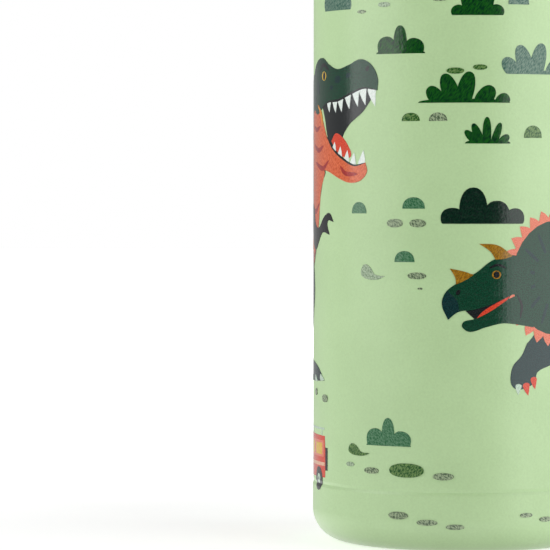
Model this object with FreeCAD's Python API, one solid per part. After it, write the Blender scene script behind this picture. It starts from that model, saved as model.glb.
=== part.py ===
import FreeCAD, Part
import math
import os

# Double-wall steel kids water bottle with a screw lid, a push-button flip cover, a folding spout
# on a straw, a safety bail and a carry loop.  Millimetres, +Z up, origin on the bottle's axis in the
# plane of its foot ring.  The button is at the front (-Y), the cover's hinge at the back (+Y) and
# the carry loop on the +X side.

V = FreeCAD.Vector
X_AXIS, Y_AXIS, Z_AXIS = V(1, 0, 0), V(0, 1, 0), V(0, 0, 1)

# ---- fits --------------------------------------------------------------------------------------
RUN_GAP = 0.3          # between moving pieces
SEAT_GAP = 0.15        # round a piece that is pressed or glued in
PLUG_GAP = 0.2         # between shells that are welded into one

NEAR = 0.1             # an edge this close to a face lies in it
PARALLEL = 0.99        # cosine from which two directions count as one

# ---- steel body --------------------------------------------------------------------------------
BODY_R = 34.87         # tube
BODY_H = 168.0         # foot to the top of the shoulder
STEEL = 0.5            # tube, liner and neck
VACUUM_GAP = 2.97      # between tube and liner
LEDGE = 0.87           # flat ring at the top of the shoulder

CUP_H = 14.0           # height of the welded base cup
CUP_PROUD = 0.13       # how far the cup stands out from the tube
CUP_WALL = 0.6
CUP_CORNER = 7.5
WELD_H = 0.7           # the cup and the tube slope down to the weld over this height
WELD_DEPTH = 0.15      # weld below the tube's surface
FOOT_IN_R = 23.4       # inner edge of the foot ring
FOOT_TAPER = 1.4       # how far the recess narrows upwards
RECESS = 2.6           # depth of the recess under the base

DISC_R = 21.8          # plate that hides the vacuum seal
DISC_T = 0.6
DISC_RIM_W = 1.0
DISC_RIM_H = 0.6

SEAL_HOLE_R = 1.0
SEAL_HEAD_R = 1.8
SEAL_HEAD_T = 0.5
GETTER_R = 5.0
GETTER_T = 1.6
GETTER_X = 12.0

DISH_CORNER = 5.5      # corner radius of the liner's bottom
LINER_LEDGE = 1.4      # flat ring at the top of the liner's shoulder
LINER_DROP = 4.0       # liner's shoulder below the shell's

NECK_R = 26.0
NECK_H = 18.4
BORE_STEP = 3.5        # from the neck's outside to the mouth's bore
FLANGE_T = 0.6         # liner's rim folded over the neck

# ---- screw thread ------------------------------------------------------------------------------
PITCH = 4.0
TURNS = 1.5
THREAD_DEPTH = 1.0
THREAD_ROOT_W = 1.4
THREAD_TIP_W = 0.8
THREAD_BITE = 0.2      # how far a thread's root is buried in its wall
THREAD_Z = 5.5         # start of the bottle's thread above the shoulder
THREAD_RUN = 0.4       # radial gap round a thread's tip

# ---- lid ---------------------------------------------------------------------------------------
GASKET_H = 2.2
GASKET_IN = 0.1        # gasket's bore outside the mouth's bore
GASKET_OUT = 0.2       # gasket's rim outside the neck
CORE_WALL = 1.8
CORE_LIFT = 2.0        # screw wall above the shoulder
PLATE_T = 2.0
PLUG_GAP_R = 0.9       # plug ring inside the mouth
PLUG_T = 2.0
PLUG_H = 8.2
LID_WALL = 2.1
LID_LIFT = 0.6         # skirt above the shoulder
DECK_T = 1.2
LID_SOFT = 0.8         # rounding of the skirt's lower edge
FLUTES = 30
FLUTE_R = 1.6
FLUTE_DEPTH = 0.4
FLUTE_MARGIN = 3.0     # plain band above and below the flutes

# ---- spout and straw ---------------------------------------------------------------------------
SPOUT_Y = 8.0
SPOUT_R = 4.5
SPOUT_BORE_R = 2.6
SPOUT_L = 27.0         # bend centre to drinking end
SPOUT_FOLD = 75.0      # degrees from upright when the cover is shut
BEND_H = 7.1           # bend centre above the deck
STUB_EDGE = 1.0        # stub outside the folding tube
STUB_GAP = 0.4
FLANGE_EDGE = 2.5      # clamped flange outside the stub
SLEEVE_WALL = 1.6      # round the straw
SLEEVE_H = 9.2
LIP_BEAD = 0.7         # bead round the drinking end
LIP_H = 2.4
STRAW_R = 3.45
STRAW_WALL = 0.8
STRAW_IN = 8.0         # straw held in the sleeve
STRAW_LIFT = 2.5       # straw's end above the liner's floor
VENT_INSET = 2.6       # vent's head inside the plug ring
VENT_STEM_R = 1.4
VENT_HEAD_R = 3.0
VENT_HEAD_T = 0.8
VENT_CAP_R = 2.6
VENT_CAP_T = 1.0
VENT_WELL_R = 4.0

# ---- flip cover --------------------------------------------------------------------------------
COVER_H = 29.3
COVER_WALL = 2.0
COVER_CORNER = 16.0
LINER_T = 1.2          # inner shell of the cover
RING_W = 1.6           # soft ring under the cover liner's edge
RING_T = 0.9
STOPPER_R = 5.0
STOPPER_Y = 3.0
STOPPER_H = 10.9
STOPPER_PAD_R = 6.5
STOPPER_PAD_T = 2.2

# ---- hinge at the back -------------------------------------------------------------------------
PIN_OUT = 2.0          # pin's centre outside the lid
PIN_H = 1.1            # pin's centre above the deck
PIN_R = 1.25
KNUCKLE_WALL = 1.75    # round the hinge pin
KNUCKLE_IN = 4.5       # inner end of the cover's knuckles
KNUCKLE_OUT = 9.2
EAR_W = 4.0
EAR_DROP = 9.5         # gusset under the lid's ears
WEB_RISE = 7.0         # web above the cover's knuckles
HEEL_IN = 0.3          # heel of an ear or a web, from the knuckle's back
HEEL_H = 1.7           # heel of an ear or a web, from the pin's height
COIL_PLAY = 0.35       # between the coil and the pin
WIRE_R = 0.35
LEG_R = 0.45           # straight legs of the spring
COIL_HALF = 3.2
COIL_TURNS = 6.5
SLOT_SIDE = 0.3        # room round a spring leg in its slot

# ---- front boss, button and latch --------------------------------------------------------------
BOSS_OUT = 7.0         # boss in front of the lid
BOSS_HALF = 10.5
BOSS_WALL = 1.5
BOSS_BELOW = 2.0       # boss below the bail's bar
BOSS_SOFT = 2.0
BUTTON_HALF = 6.5
BUTTON_HIGH = 8.0
BUTTON_BELOW = 0.7     # button's arm below the cover's tab
BUTTON_PROUD = 0.8
BUTTON_SOFT = 1.5
BUTTON_FLANGE = 0.8    # flange round the button, on every side and thick
ARM_H = 2.0
TRAVEL = 1.8
HOOK_HALF = 4.0
RISER_T = 1.3
HOOK_H = 1.5
HOOK_GRIP = 0.6        # hook over the cover's tooth
TAB_HALF = 5.0
TAB_FRONT_GAP = 0.8
TAB_T = 1.8
TAB_DROP = 6.4         # tab's end below the deck
TOOTH = 0.9
TOOTH_H = 1.5
TOOTH_RISE = 0.2
BEAK_OUT = 6.8
BEAK_HALF = 7.5
BEAK_H = 4.5
BEAK_SOFT = 1.5
BEAK_TOP_SOFT = 0.75
PRESS_COIL_R = 2.1
PRESS_WIRE_R = 0.25
PRESS_TURNS = 5.0
PRESS_POCKET_R = 2.8
PRESS_POCKET = 2.2
PRESS_BELOW = 1.0      # spring's axis below the button's middle

# ---- safety bail -------------------------------------------------------------------------------
BAIL_WIRE_R = 1.2
BAIL_L = 13.0
BAIL_BACK = 3.7        # pivot behind the boss's front
BAIL_BELOW = 0.6       # bar below the button
BAIL_PIN_R = 1.0
BAIL_EYE_R = 1.7
BAIL_EYE_T = 2.8
BAIL_BEND = 2.6

# ---- carry loop --------------------------------------------------------------------------------
LOOP_GAP = 1.43        # loop outside the body
LOOP_T = 4.6
LOOP_RISE = 15.4       # loop's pin above the skirt's lower edge
LOOP_PIN_R = 1.5
BARREL_WALL = 1.4      # round the loop's pin
BARREL_HALF = 5.9
LOOP_HALF = 14.0
LOOP_BAR = 5.0
LOOP_DROP = 42.0
LOOP_SLOPE = 10.0      # height over which the loop widens
LOOP_SOFT = 1.6
LUG_EDGE = 0.2         # lug outside the loop's barrel
LUG_T = 2.7

# ---- worked out --------------------------------------------------------------------------------
CUP_R = BODY_R + CUP_PROUD
SHOULDER_R = BODY_R - NECK_R - LEDGE
TUBE_IN_R = BODY_R - STEEL
LINER_R = TUBE_IN_R - VACUUM_GAP
BORE_R = NECK_R - BORE_STEP
BORE_OUT_R = BORE_R + STEEL
LINER_CORNER = LINER_R - BORE_OUT_R - LINER_LEDGE
LINER_TOP = BODY_H - LINER_DROP
LINER_FLOOR = CUP_H - DISH_CORNER + STEEL
NECK_TOP = BODY_H + NECK_H
RIM_Z = NECK_TOP + FLANGE_T
THREAD_R = NECK_R + THREAD_DEPTH

PLATE_Z = RIM_Z + GASKET_H
DECK_Z = PLATE_Z + PLATE_T + DECK_T
PLUG_R = BORE_R - PLUG_GAP_R
CORE_IN_R = THREAD_R + THREAD_RUN
CORE_R = CORE_IN_R + CORE_WALL
LID_IN_R = CORE_R + PLUG_GAP
LID_R = LID_IN_R + LID_WALL
LID_Z = BODY_H + LID_LIFT

VENT_Y = -(PLUG_R - PLUG_T - VENT_HEAD_R - VENT_INSET)
STUB_R = SPOUT_R + STUB_EDGE
FLANGE_R = STUB_R + FLANGE_EDGE
SLEEVE_R = STRAW_R + SEAT_GAP + SLEEVE_WALL
LIP_R = SPOUT_R + LIP_BEAD
BEND_Z = DECK_Z + BEND_H
KNUCKLE_R = PIN_R + KNUCKLE_WALL
COIL_R = PIN_R + COIL_PLAY + WIRE_R
PIN_Y = LID_R + PIN_OUT
PIN_Z = DECK_Z + PIN_H
COVER_Z = DECK_Z + RUN_GAP
COVER_TOP = COVER_Z + COVER_H
COVER_IN_R = LID_R - COVER_WALL
ROOF_Z = COVER_TOP - COVER_WALL
CLINER_R = COVER_IN_R - PLUG_GAP
CLINER_TOP = ROOF_Z - PLUG_GAP

BOSS_Y = -(LID_R + BOSS_OUT)
CAVITY_Y = BOSS_Y + BOSS_WALL
CAVITY_BACK = -(LID_R + PLUG_GAP / 2)
TAB_Y = CAVITY_Y + TAB_FRONT_GAP
TAB_BACK = TAB_Y + TAB_T
TAB_END = DECK_Z - TAB_DROP
TOOTH_TIP = TAB_BACK + TOOTH
TOOTH_Z = TAB_END + TOOTH_RISE
RISER_Y = TOOTH_TIP + RUN_GAP
RISER_BACK = RISER_Y + RISER_T
HOOK_Z = TOOTH_Z + TOOTH_H + RUN_GAP
POCKET_BACK = RISER_BACK + TRAVEL + RUN_GAP
ARM_TOP = TAB_END - BUTTON_BELOW
BUTTON_Z = ARM_TOP - BUTTON_FLANGE - BUTTON_HIGH / 2
BUTTON_Y = BOSS_Y - BUTTON_PROUD
PRESS_Z = BUTTON_Z - PRESS_BELOW
BUTTON_BACK = CAVITY_Y + RUN_GAP + BUTTON_FLANGE
BUTTON_TOP = BUTTON_Z + BUTTON_HIGH / 2
BUTTON_LOW = BUTTON_Z - BUTTON_HIGH / 2
ARM_Z = ARM_TOP - ARM_H

BAIL_Y = BOSS_Y + BAIL_BACK
BAIL_REST_Y = BOSS_Y - RUN_GAP - BAIL_WIRE_R
BAIL_REST_Z = BUTTON_LOW - BAIL_BELOW - BAIL_WIRE_R
BAIL_LEAN = math.asin((BAIL_Y - BAIL_REST_Y) / BAIL_L)
BAIL_Z = BAIL_REST_Z + BAIL_L * math.cos(BAIL_LEAN)
BAIL_HALF = BOSS_HALF + RUN_GAP + BAIL_EYE_T / 2
BOSS_Z = BAIL_REST_Z - BAIL_WIRE_R - BOSS_BELOW

BARREL_R = LOOP_PIN_R + RUN_GAP + BARREL_WALL
LUG_R = BARREL_R + LUG_EDGE
LOOP_X = max(BODY_R, LID_R) + LOOP_GAP + LOOP_T / 2
LOOP_Z = LID_Z + LOOP_RISE


# ---- shape helpers -----------------------------------------------------------------------------
def arc(centre, radius, start, end):
    """The middle and the end of an arc about centre, with its angles in degrees."""
    middle = math.radians((start + end) / 2)
    last = math.radians(end)
    return tuple(
        (centre[0] + radius * math.cos(a), centre[1] + radius * math.sin(a)) for a in (middle, last)
    )


def outline(points, place):
    """A closed face from points in a plane; a pair of points is an arc's middle and end."""
    edges = []
    here = points[0]
    for step in points[1:] + [points[0]]:
        if isinstance(step[0], tuple):
            middle, end = step
            edges.append(Part.Arc(place(here), place(middle), place(end)).toShape())
        else:
            end = step
            edges.append(Part.makeLine(place(here), place(end)))
        here = end
    return Part.Face(Part.Wire(edges))


def turned(points):
    """A solid turned about the bottle's axis from an outline of (radius, height)."""
    return outline(points, lambda p: V(p[0], 0, p[1])).revolve(V(0, 0, 0), Z_AXIS, 360)


def side_plate(points, x0, x1):
    """A plate between two heights on X from an outline of (y, z)."""
    return outline(points, lambda p: V(x0, p[0], p[1])).extrude(V(x1 - x0, 0, 0))


def disc(radius, z0, z1, y=0.0, x=0.0):
    return Part.makeCylinder(radius, z1 - z0, V(x, y, z0), Z_AXIS)


def ring(inner, outer, z0, z1, y=0.0):
    return disc(outer, z0, z1, y).cut(disc(inner, z0, z1, y))


def block(x0, x1, y0, y1, z0, z1):
    return Part.makeBox(x1 - x0, y1 - y0, z1 - z0, V(x0, y0, z0))


def rod_x(radius, x0, x1, y, z):
    return Part.makeCylinder(radius, x1 - x0, V(x0, y, z), X_AXIS)


def rod_y(radius, y0, y1, x, z):
    return Part.makeCylinder(radius, y1 - y0, V(x, y0, z), Y_AXIS)


def soften(shape, radius, wanted):
    """Round the straight edges that wanted(middle, direction) picks."""
    picked = []
    for edge in shape.Edges:
        if not isinstance(edge.Curve, Part.Line):
            continue
        middle = edge.valueAt((edge.FirstParameter + edge.LastParameter) / 2)
        if wanted(middle, edge.Curve.Direction):
            picked.append(edge)
    return shape.makeFillet(radius, picked)


def along(axis):
    """Pick the edges that run along an axis."""
    return lambda middle, direction: abs(direction.dot(axis)) > PARALLEL


def corners_at(front_y):
    """Pick the upright edges of a box's front face."""
    upright = along(Z_AXIS)
    return lambda middle, direction: middle.y < front_y + NEAR and upright(middle, direction)


def wall_depth(half, wall):
    """How far out the middle of the lid's round wall is, at half a width from the centre line."""
    return math.sqrt(LID_R ** 2 - half ** 2) - wall / 2


def both_sides(shape):
    return shape.fuse(shape.mirror(V(0, 0, 0), X_AXIS))


def save(name, shape):
    shape = shape.removeSplitter()
    solids = list(shape.Solids)
    whole = solids[0] if len(solids) == 1 else Part.makeCompound(solids)
    if not whole.isValid():
        raise ValueError(name + " is not a valid shape")
    whole.exportStep("parts/" + name + ".step")
    print(name, len(solids), round(whole.Volume, 1))


def coil(radius, wire_r, length, turns):
    """A round-wire coil about Z that starts at z = 0."""
    helix = Part.makeHelix(length / turns, length, radius)
    start = V(radius, 0, 0)
    lean = V(0, 2 * math.pi * radius, length / turns)
    section = Part.Wire(Part.makeCircle(wire_r, start, lean))
    return Part.Wire(helix.Edges).makePipeShell([section], True, True)


def thread(root_r, tip_r, z):
    """A helical ridge of one section between two radii; tip_r may be inside root_r."""
    helix = Part.makeHelix(PITCH, PITCH * TURNS, root_r)
    helix.translate(V(0, 0, z))
    corners = [
        V(root_r, 0, z - THREAD_ROOT_W / 2),
        V(tip_r, 0, z - THREAD_TIP_W / 2),
        V(tip_r, 0, z + THREAD_TIP_W / 2),
        V(root_r, 0, z + THREAD_ROOT_W / 2),
    ]
    section = Part.makePolygon(corners + corners[:1])
    return Part.Wire(helix.Edges).makePipeShell([section], True, True)


# ---- steel body --------------------------------------------------------------------------------
def outer_shell():
    neck_in = NECK_R - STEEL
    centre = (BODY_R - SHOULDER_R, BODY_H - SHOULDER_R)
    tube = turned([
        (BODY_R - WELD_DEPTH, CUP_H),
        (BODY_R, CUP_H + WELD_H),
        (BODY_R, centre[1]),
        arc(centre, SHOULDER_R, 0, 90),
        (NECK_R, BODY_H),
        (NECK_R, NECK_TOP),
        (neck_in, NECK_TOP),
        (neck_in, BODY_H - STEEL),
        (centre[0], BODY_H - STEEL),
        arc(centre, SHOULDER_R - STEEL, 90, 0),
        (TUBE_IN_R, CUP_H),
    ])
    return tube.fuse(thread(NECK_R - THREAD_BITE, THREAD_R, BODY_H + THREAD_Z))


def base_cup():
    centre = (CUP_R - CUP_CORNER, CUP_CORNER)
    inner_r = CUP_R - CUP_WALL
    recess_r = FOOT_IN_R - FOOT_TAPER
    cup = turned([
        (0, RECESS),
        (recess_r, RECESS),
        (FOOT_IN_R, 0),
        (centre[0], 0),
        arc(centre, CUP_CORNER, -90, 0),
        (CUP_R, CUP_H - WELD_H),
        (BODY_R - WELD_DEPTH, CUP_H),
        (inner_r, CUP_H),
        (inner_r, CUP_CORNER),
        arc(centre, CUP_CORNER - CUP_WALL, 0, -90),
        (FOOT_IN_R + CUP_WALL / 2, CUP_WALL),
        (recess_r + CUP_WALL / 2, RECESS + CUP_WALL),
        (0, RECESS + CUP_WALL),
    ])
    return cup.cut(disc(SEAL_HOLE_R, RECESS, RECESS + CUP_WALL))


def base_disc():
    low = RECESS - DISC_RIM_H - DISC_T
    plate = disc(DISC_R, low, low + DISC_T)
    return plate.fuse(ring(DISC_R - DISC_RIM_W, DISC_R, low + DISC_T, RECESS))


def vacuum_seal():
    head = disc(SEAL_HEAD_R, RECESS - SEAL_HEAD_T, RECESS)
    return head.fuse(disc(SEAL_HOLE_R - SEAT_GAP / 2, RECESS, RECESS + CUP_WALL))


def getter():
    floor = RECESS + CUP_WALL
    return disc(GETTER_R, floor, floor + GETTER_T, 0, GETTER_X)


def inner_liner():
    inner_r = LINER_R - STEEL
    centre = (LINER_R - LINER_CORNER, LINER_TOP - LINER_CORNER)
    return turned([
        (LINER_R, CUP_H),
        (LINER_R, centre[1]),
        arc(centre, LINER_CORNER, 0, 90),
        (BORE_OUT_R, LINER_TOP),
        (BORE_OUT_R, NECK_TOP),
        (NECK_R, NECK_TOP),
        (NECK_R, RIM_Z),
        (BORE_R, RIM_Z),
        (BORE_R, LINER_TOP - STEEL),
        (centre[0], LINER_TOP - STEEL),
        arc(centre, LINER_CORNER - STEEL, 90, 0),
        (inner_r, CUP_H),
    ])


def liner_bottom():
    centre = (LINER_R - DISH_CORNER, CUP_H)
    low = CUP_H - DISH_CORNER
    return turned([
        (0, low),
        (centre[0], low),
        arc(centre, DISH_CORNER, -90, 0),
        (LINER_R - STEEL, CUP_H),
        arc(centre, DISH_CORNER - STEEL, 0, -90),
        (0, LINER_FLOOR),
    ])


# ---- lid ---------------------------------------------------------------------------------------
def neck_gasket():
    return ring(BORE_R + GASKET_IN, NECK_R + GASKET_OUT, RIM_Z, PLATE_Z)


def lid_core():
    """The screw insert: threaded wall, plate, plug ring and the seat of the spout's flange."""
    bottom = BODY_H + CORE_LIFT
    plate_top = PLATE_Z + PLATE_T
    core = disc(CORE_R, bottom, plate_top).cut(disc(CORE_IN_R, bottom, PLATE_Z))
    core = core.fuse(ring(PLUG_R - PLUG_T, PLUG_R, PLATE_Z - PLUG_H, PLATE_Z))
    seat = disc(FLANGE_R + SEAT_GAP, plate_top - DECK_T, plate_top, SPOUT_Y)
    port = disc(SLEEVE_R + SEAT_GAP, PLATE_Z, plate_top, SPOUT_Y)
    vent = disc(VENT_STEM_R + SEAT_GAP / 2, PLATE_Z, plate_top, VENT_Y)
    core = core.cut(seat).cut(port).cut(vent)
    start = BODY_H + THREAD_Z - PITCH / 2
    return core.fuse(thread(CORE_IN_R + THREAD_BITE, NECK_R + THREAD_RUN, start))


def lid_body():
    """The lid's outer skirt and deck, with a softened lower edge."""
    return turned([
        (LID_IN_R, LID_Z),
        (LID_R - LID_SOFT, LID_Z),
        arc((LID_R - LID_SOFT, LID_Z + LID_SOFT), LID_SOFT, -90, 0),
        (LID_R, DECK_Z),
        (0, DECK_Z),
        (0, DECK_Z - DECK_T),
        (LID_IN_R, DECK_Z - DECK_T),
    ])


def flutes():
    """Grip flutes round the skirt, left out at the boss, the hinge and the loop's lug."""
    low = LID_Z + FLUTE_MARGIN
    high = DECK_Z - FLUTE_MARGIN
    away = LID_R + FLUTE_R - FLUTE_DEPTH
    cutters = []
    for i in range(FLUTES):
        angle = 2 * math.pi * (i + 0.5) / FLUTES
        x, y = away * math.cos(angle), away * math.sin(angle)
        at_ends = abs(x) < BOSS_HALF + EAR_W and abs(y) > abs(x)
        at_lug = x > 0 and abs(y) < BARREL_HALF + LUG_T + 2 * FLUTE_R
        if not at_ends and not at_lug:
            cutters.append(disc(FLUTE_R, low, high, y, x))
    return Part.makeCompound(cutters)


def front_boss():
    box = block(-BOSS_HALF, BOSS_HALF, BOSS_Y, -wall_depth(BOSS_HALF, LID_WALL), BOSS_Z, DECK_Z)
    box = soften(box, BOSS_SOFT, corners_at(BOSS_Y))
    inner_half = BOSS_HALF - BOSS_WALL
    top = DECK_Z - BOSS_WALL
    pocket_y = -CORE_R - PLUG_GAP
    back = min(POCKET_BACK, pocket_y)
    cavity = block(-inner_half, inner_half, CAVITY_Y, CAVITY_BACK, BOSS_Z + BOSS_WALL, top)
    pocket_half = HOOK_HALF + 2 * RUN_GAP
    pocket = block(-pocket_half, pocket_half, CAVITY_BACK, back, ARM_Z - RUN_GAP, top)
    slot_half = TAB_HALF + 2 * RUN_GAP
    slot = block(-slot_half, slot_half, CAVITY_Y, RISER_BACK, top, DECK_Z)
    return box, cavity.fuse(pocket).fuse(slot)


def hinge_ears():
    inner = KNUCKLE_OUT + RUN_GAP
    out = PIN_Y + KNUCKLE_R
    root = wall_depth(inner + EAR_W, LID_WALL)
    heel = (out - HEEL_IN, PIN_Z - HEEL_H)
    gusset = [(root, PIN_Z), (out, PIN_Z), heel, (root, PIN_Z - EAR_DROP)]
    ear = side_plate(gusset, inner, inner + EAR_W)
    ear = ear.fuse(rod_x(KNUCKLE_R, inner, inner + EAR_W, PIN_Y, PIN_Z))
    ear = ear.cut(disc(LID_R + RUN_GAP, DECK_Z, PIN_Z + KNUCKLE_R))
    return both_sides(ear)


def loop_lug():
    inner = BARREL_HALF + RUN_GAP
    root = wall_depth(inner + LUG_T, LID_WALL)
    arm = block(root, LOOP_X, inner, inner + LUG_T, LOOP_Z - LUG_R, LOOP_Z + LUG_R)
    arm = arm.fuse(rod_y(LUG_R, inner, inner + LUG_T, LOOP_X, LOOP_Z))
    return arm.fuse(arm.mirror(V(0, 0, 0), Y_AXIS))


def lid_shell():
    boss, hollow = front_boss()
    shell = lid_body().cut(flutes()).fuse(boss).fuse(hinge_ears()).fuse(loop_lug())
    shell = shell.cut(disc(LID_IN_R, LID_Z, DECK_Z - DECK_T)).cut(hollow)
    window = block(
        -BUTTON_HALF - RUN_GAP, BUTTON_HALF + RUN_GAP,
        BOSS_Y, CAVITY_Y,
        BUTTON_LOW - RUN_GAP, BUTTON_TOP + RUN_GAP,
    )
    shell = shell.cut(soften(window, BUTTON_SOFT + RUN_GAP, along(Y_AXIS)))
    bail_hole = rod_x(BAIL_PIN_R + RUN_GAP, -BOSS_HALF, BOSS_HALF, BAIL_Y, BAIL_Z)
    shell = shell.cut(bail_hole)
    reach = KNUCKLE_OUT + RUN_GAP / 2
    shell = shell.cut(rod_x(KNUCKLE_R + RUN_GAP, -reach, reach, PIN_Y, PIN_Z))
    half = KNUCKLE_OUT + RUN_GAP + EAR_W
    shell = shell.cut(rod_x(PIN_R + SEAT_GAP / 2, -half, half, PIN_Y, PIN_Z))
    lug_half = BARREL_HALF + RUN_GAP + LUG_T
    shell = shell.cut(rod_y(LOOP_PIN_R + SEAT_GAP / 2, -lug_half, lug_half, LOOP_X, LOOP_Z))
    shell = shell.cut(leg_slot(-COIL_HALF, PIN_Z - COIL_R, LID_IN_R))
    shell = shell.cut(disc(STUB_R + 2 * RUN_GAP, DECK_Z - DECK_T, DECK_Z, SPOUT_Y))
    return shell.cut(disc(VENT_WELL_R, DECK_Z - DECK_T, DECK_Z, VENT_Y))


def leg_slot(x, z, y0):
    """Slot for one leg of the torsion spring, through the back wall."""
    half = LEG_R + SLOT_SIDE
    return block(x - half, x + half, y0, PIN_Y, z - half, z + half)


def hinge_pin():
    half = KNUCKLE_OUT + RUN_GAP + EAR_W
    return rod_x(PIN_R, -half, half, PIN_Y, PIN_Z)


def torsion_spring():
    """A coil on the hinge pin; one leg lies in the lid's back wall, the other in the cover's."""
    wound = coil(COIL_R, WIRE_R, 2 * COIL_HALF, COIL_TURNS)
    wound.rotate(V(0, 0, 0), Y_AXIS, 90)
    wound.translate(V(-COIL_HALF, PIN_Y, PIN_Z))
    root = LID_IN_R + SEAT_GAP
    low = rod_y(LEG_R, root, PIN_Y + WIRE_R, -COIL_HALF, PIN_Z - COIL_R)
    high = rod_y(LEG_R, COVER_IN_R + SEAT_GAP, PIN_Y + WIRE_R, COIL_HALF, PIN_Z + COIL_R)
    return wound.fuse(low).fuse(high)


def button_spring():
    back = CAVITY_BACK
    front = BUTTON_BACK - BUTTON_FLANGE - PRESS_POCKET + PRESS_WIRE_R
    wound = coil(PRESS_COIL_R, PRESS_WIRE_R, back - front - 2 * PRESS_WIRE_R, PRESS_TURNS)
    wound.rotate(V(0, 0, 0), X_AXIS, -90)
    wound.translate(V(0, front + PRESS_WIRE_R, PRESS_Z))
    return wound


def spout_base():
    """Soft seat of the spout: stub, flange clamped under the deck, and a sleeve for the straw."""
    plate_top = PLATE_Z + PLATE_T
    flange_z = plate_top - DECK_T
    stub_top = BEND_Z - SPOUT_R - STUB_GAP
    seat = disc(STUB_R, plate_top, stub_top, SPOUT_Y)
    seat = seat.fuse(disc(FLANGE_R, flange_z, plate_top, SPOUT_Y))
    seat = seat.fuse(disc(SLEEVE_R, PLATE_Z - SLEEVE_H, flange_z, SPOUT_Y))
    seat = seat.cut(disc(SPOUT_BORE_R, PLATE_Z - SLEEVE_H, stub_top, SPOUT_Y))
    socket_z = PLATE_Z - SLEEVE_H
    return seat.cut(disc(STRAW_R + SEAT_GAP, socket_z, socket_z + STRAW_IN + SEAT_GAP, SPOUT_Y))


def straw():
    top = PLATE_Z - SLEEVE_H + STRAW_IN
    return ring(STRAW_R - STRAW_WALL, STRAW_R, LINER_FLOOR + STRAW_LIFT, top, SPOUT_Y)


def vent_valve():
    plate_top = PLATE_Z + PLATE_T
    head = disc(VENT_HEAD_R, PLATE_Z - VENT_HEAD_T, PLATE_Z, VENT_Y)
    stem = disc(VENT_STEM_R, PLATE_Z, plate_top, VENT_Y)
    return head.fuse(stem).fuse(disc(VENT_CAP_R, plate_top, plate_top + VENT_CAP_T, VENT_Y))


def deck_ring():
    """Soft ring on the deck that the cover's inner shell closes on."""
    ring_r = COVER_IN_R - PLUG_GAP
    return ring(ring_r - RING_W, ring_r, DECK_Z, DECK_Z + RING_T)


def loop_pin():
    half = BARREL_HALF + RUN_GAP + LUG_T
    return rod_y(LOOP_PIN_R, -half, half, LOOP_X, LOOP_Z)


# ---- spout tip ---------------------------------------------------------------------------------
def spout_tip():
    """The folding tube, built upright about its bend centre, then folded forward."""
    tip = disc(SPOUT_R, 0, SPOUT_L).fuse(Part.makeSphere(SPOUT_R))
    lip = turned([
        (0, SPOUT_L - LIP_H),
        (SPOUT_R, SPOUT_L - LIP_H),
        ((LIP_R, SPOUT_L - LIP_H / 2), (SPOUT_R, SPOUT_L)),
        (0, SPOUT_L),
    ])
    tip = tip.fuse(lip).cut(disc(SPOUT_BORE_R, -SPOUT_R, SPOUT_L))
    tip.rotate(V(0, 0, 0), X_AXIS, SPOUT_FOLD)
    tip.translate(V(0, SPOUT_Y, BEND_Z))
    return tip


# ---- flip cover --------------------------------------------------------------------------------
def dome(radius, bottom, top, corner):
    """A solid cap with a round shoulder."""
    centre = (radius - corner, top - corner)
    return turned([
        (0, bottom),
        (radius, bottom),
        (radius, centre[1]),
        arc(centre, corner, 0, 90),
        (0, top),
    ])


def latch_tab():
    tab = block(-TAB_HALF, TAB_HALF, TAB_Y, TAB_BACK, TAB_END, COVER_Z + BEAK_H / 2)
    lead = TOOTH_TIP - TAB_BACK
    tooth = side_plate(
        [
            (TAB_BACK, TOOTH_Z - TOOTH_RISE),
            (TAB_BACK + lead, TOOTH_Z + TOOTH_H / 2),
            (TAB_BACK + lead, TOOTH_Z + TOOTH_H),
            (TAB_BACK, TOOTH_Z + TOOTH_H),
        ],
        -TAB_HALF + RUN_GAP,
        TAB_HALF - RUN_GAP,
    )
    return tab.fuse(tooth)


def cover_beak():
    front_y = -(LID_R + BEAK_OUT)
    back_y = -wall_depth(BEAK_HALF, COVER_WALL)
    box = block(-BEAK_HALF, BEAK_HALF, front_y, back_y, COVER_Z, COVER_Z + BEAK_H)
    box = soften(box, BEAK_SOFT, corners_at(front_y))
    top_z = COVER_Z + BEAK_H - NEAR
    return soften(box, BEAK_TOP_SOFT, lambda middle, direction: middle.z > top_z and middle.y < -LID_R)


def knuckles():
    root = wall_depth(KNUCKLE_OUT, COVER_WALL)
    knuckle = rod_x(KNUCKLE_R, KNUCKLE_IN, KNUCKLE_OUT, PIN_Y, PIN_Z)
    web = side_plate(
        [
            (root, COVER_Z),
            (PIN_Y, COVER_Z),
            (PIN_Y + KNUCKLE_R, PIN_Z),
            (PIN_Y + KNUCKLE_R - HEEL_IN, PIN_Z + HEEL_H),
            (root, PIN_Z + WEB_RISE),
        ],
        KNUCKLE_IN,
        KNUCKLE_OUT,
    )
    web = web.cut(disc(COVER_IN_R, COVER_Z, PIN_Z + WEB_RISE))
    return both_sides(knuckle.fuse(web))


def flip_cover():
    shell = dome(LID_R, COVER_Z, COVER_TOP, COVER_CORNER)
    shell = shell.fuse(cover_beak()).fuse(knuckles())
    shell = shell.cut(dome(COVER_IN_R, COVER_Z, ROOF_Z, COVER_CORNER - COVER_WALL))
    shell = shell.fuse(latch_tab())
    shell = shell.cut(rod_x(KNUCKLE_R + RUN_GAP, -KNUCKLE_IN, KNUCKLE_IN, PIN_Y, PIN_Z))
    ears = rod_x(KNUCKLE_R + RUN_GAP, KNUCKLE_OUT, KNUCKLE_OUT + 2 * RUN_GAP + EAR_W, PIN_Y, PIN_Z)
    shell = shell.cut(both_sides(ears))
    shell = shell.cut(rod_x(PIN_R + RUN_GAP, -KNUCKLE_OUT, KNUCKLE_OUT, PIN_Y, PIN_Z))
    return shell.cut(leg_slot(COIL_HALF, PIN_Z + COIL_R, COVER_IN_R))


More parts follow.
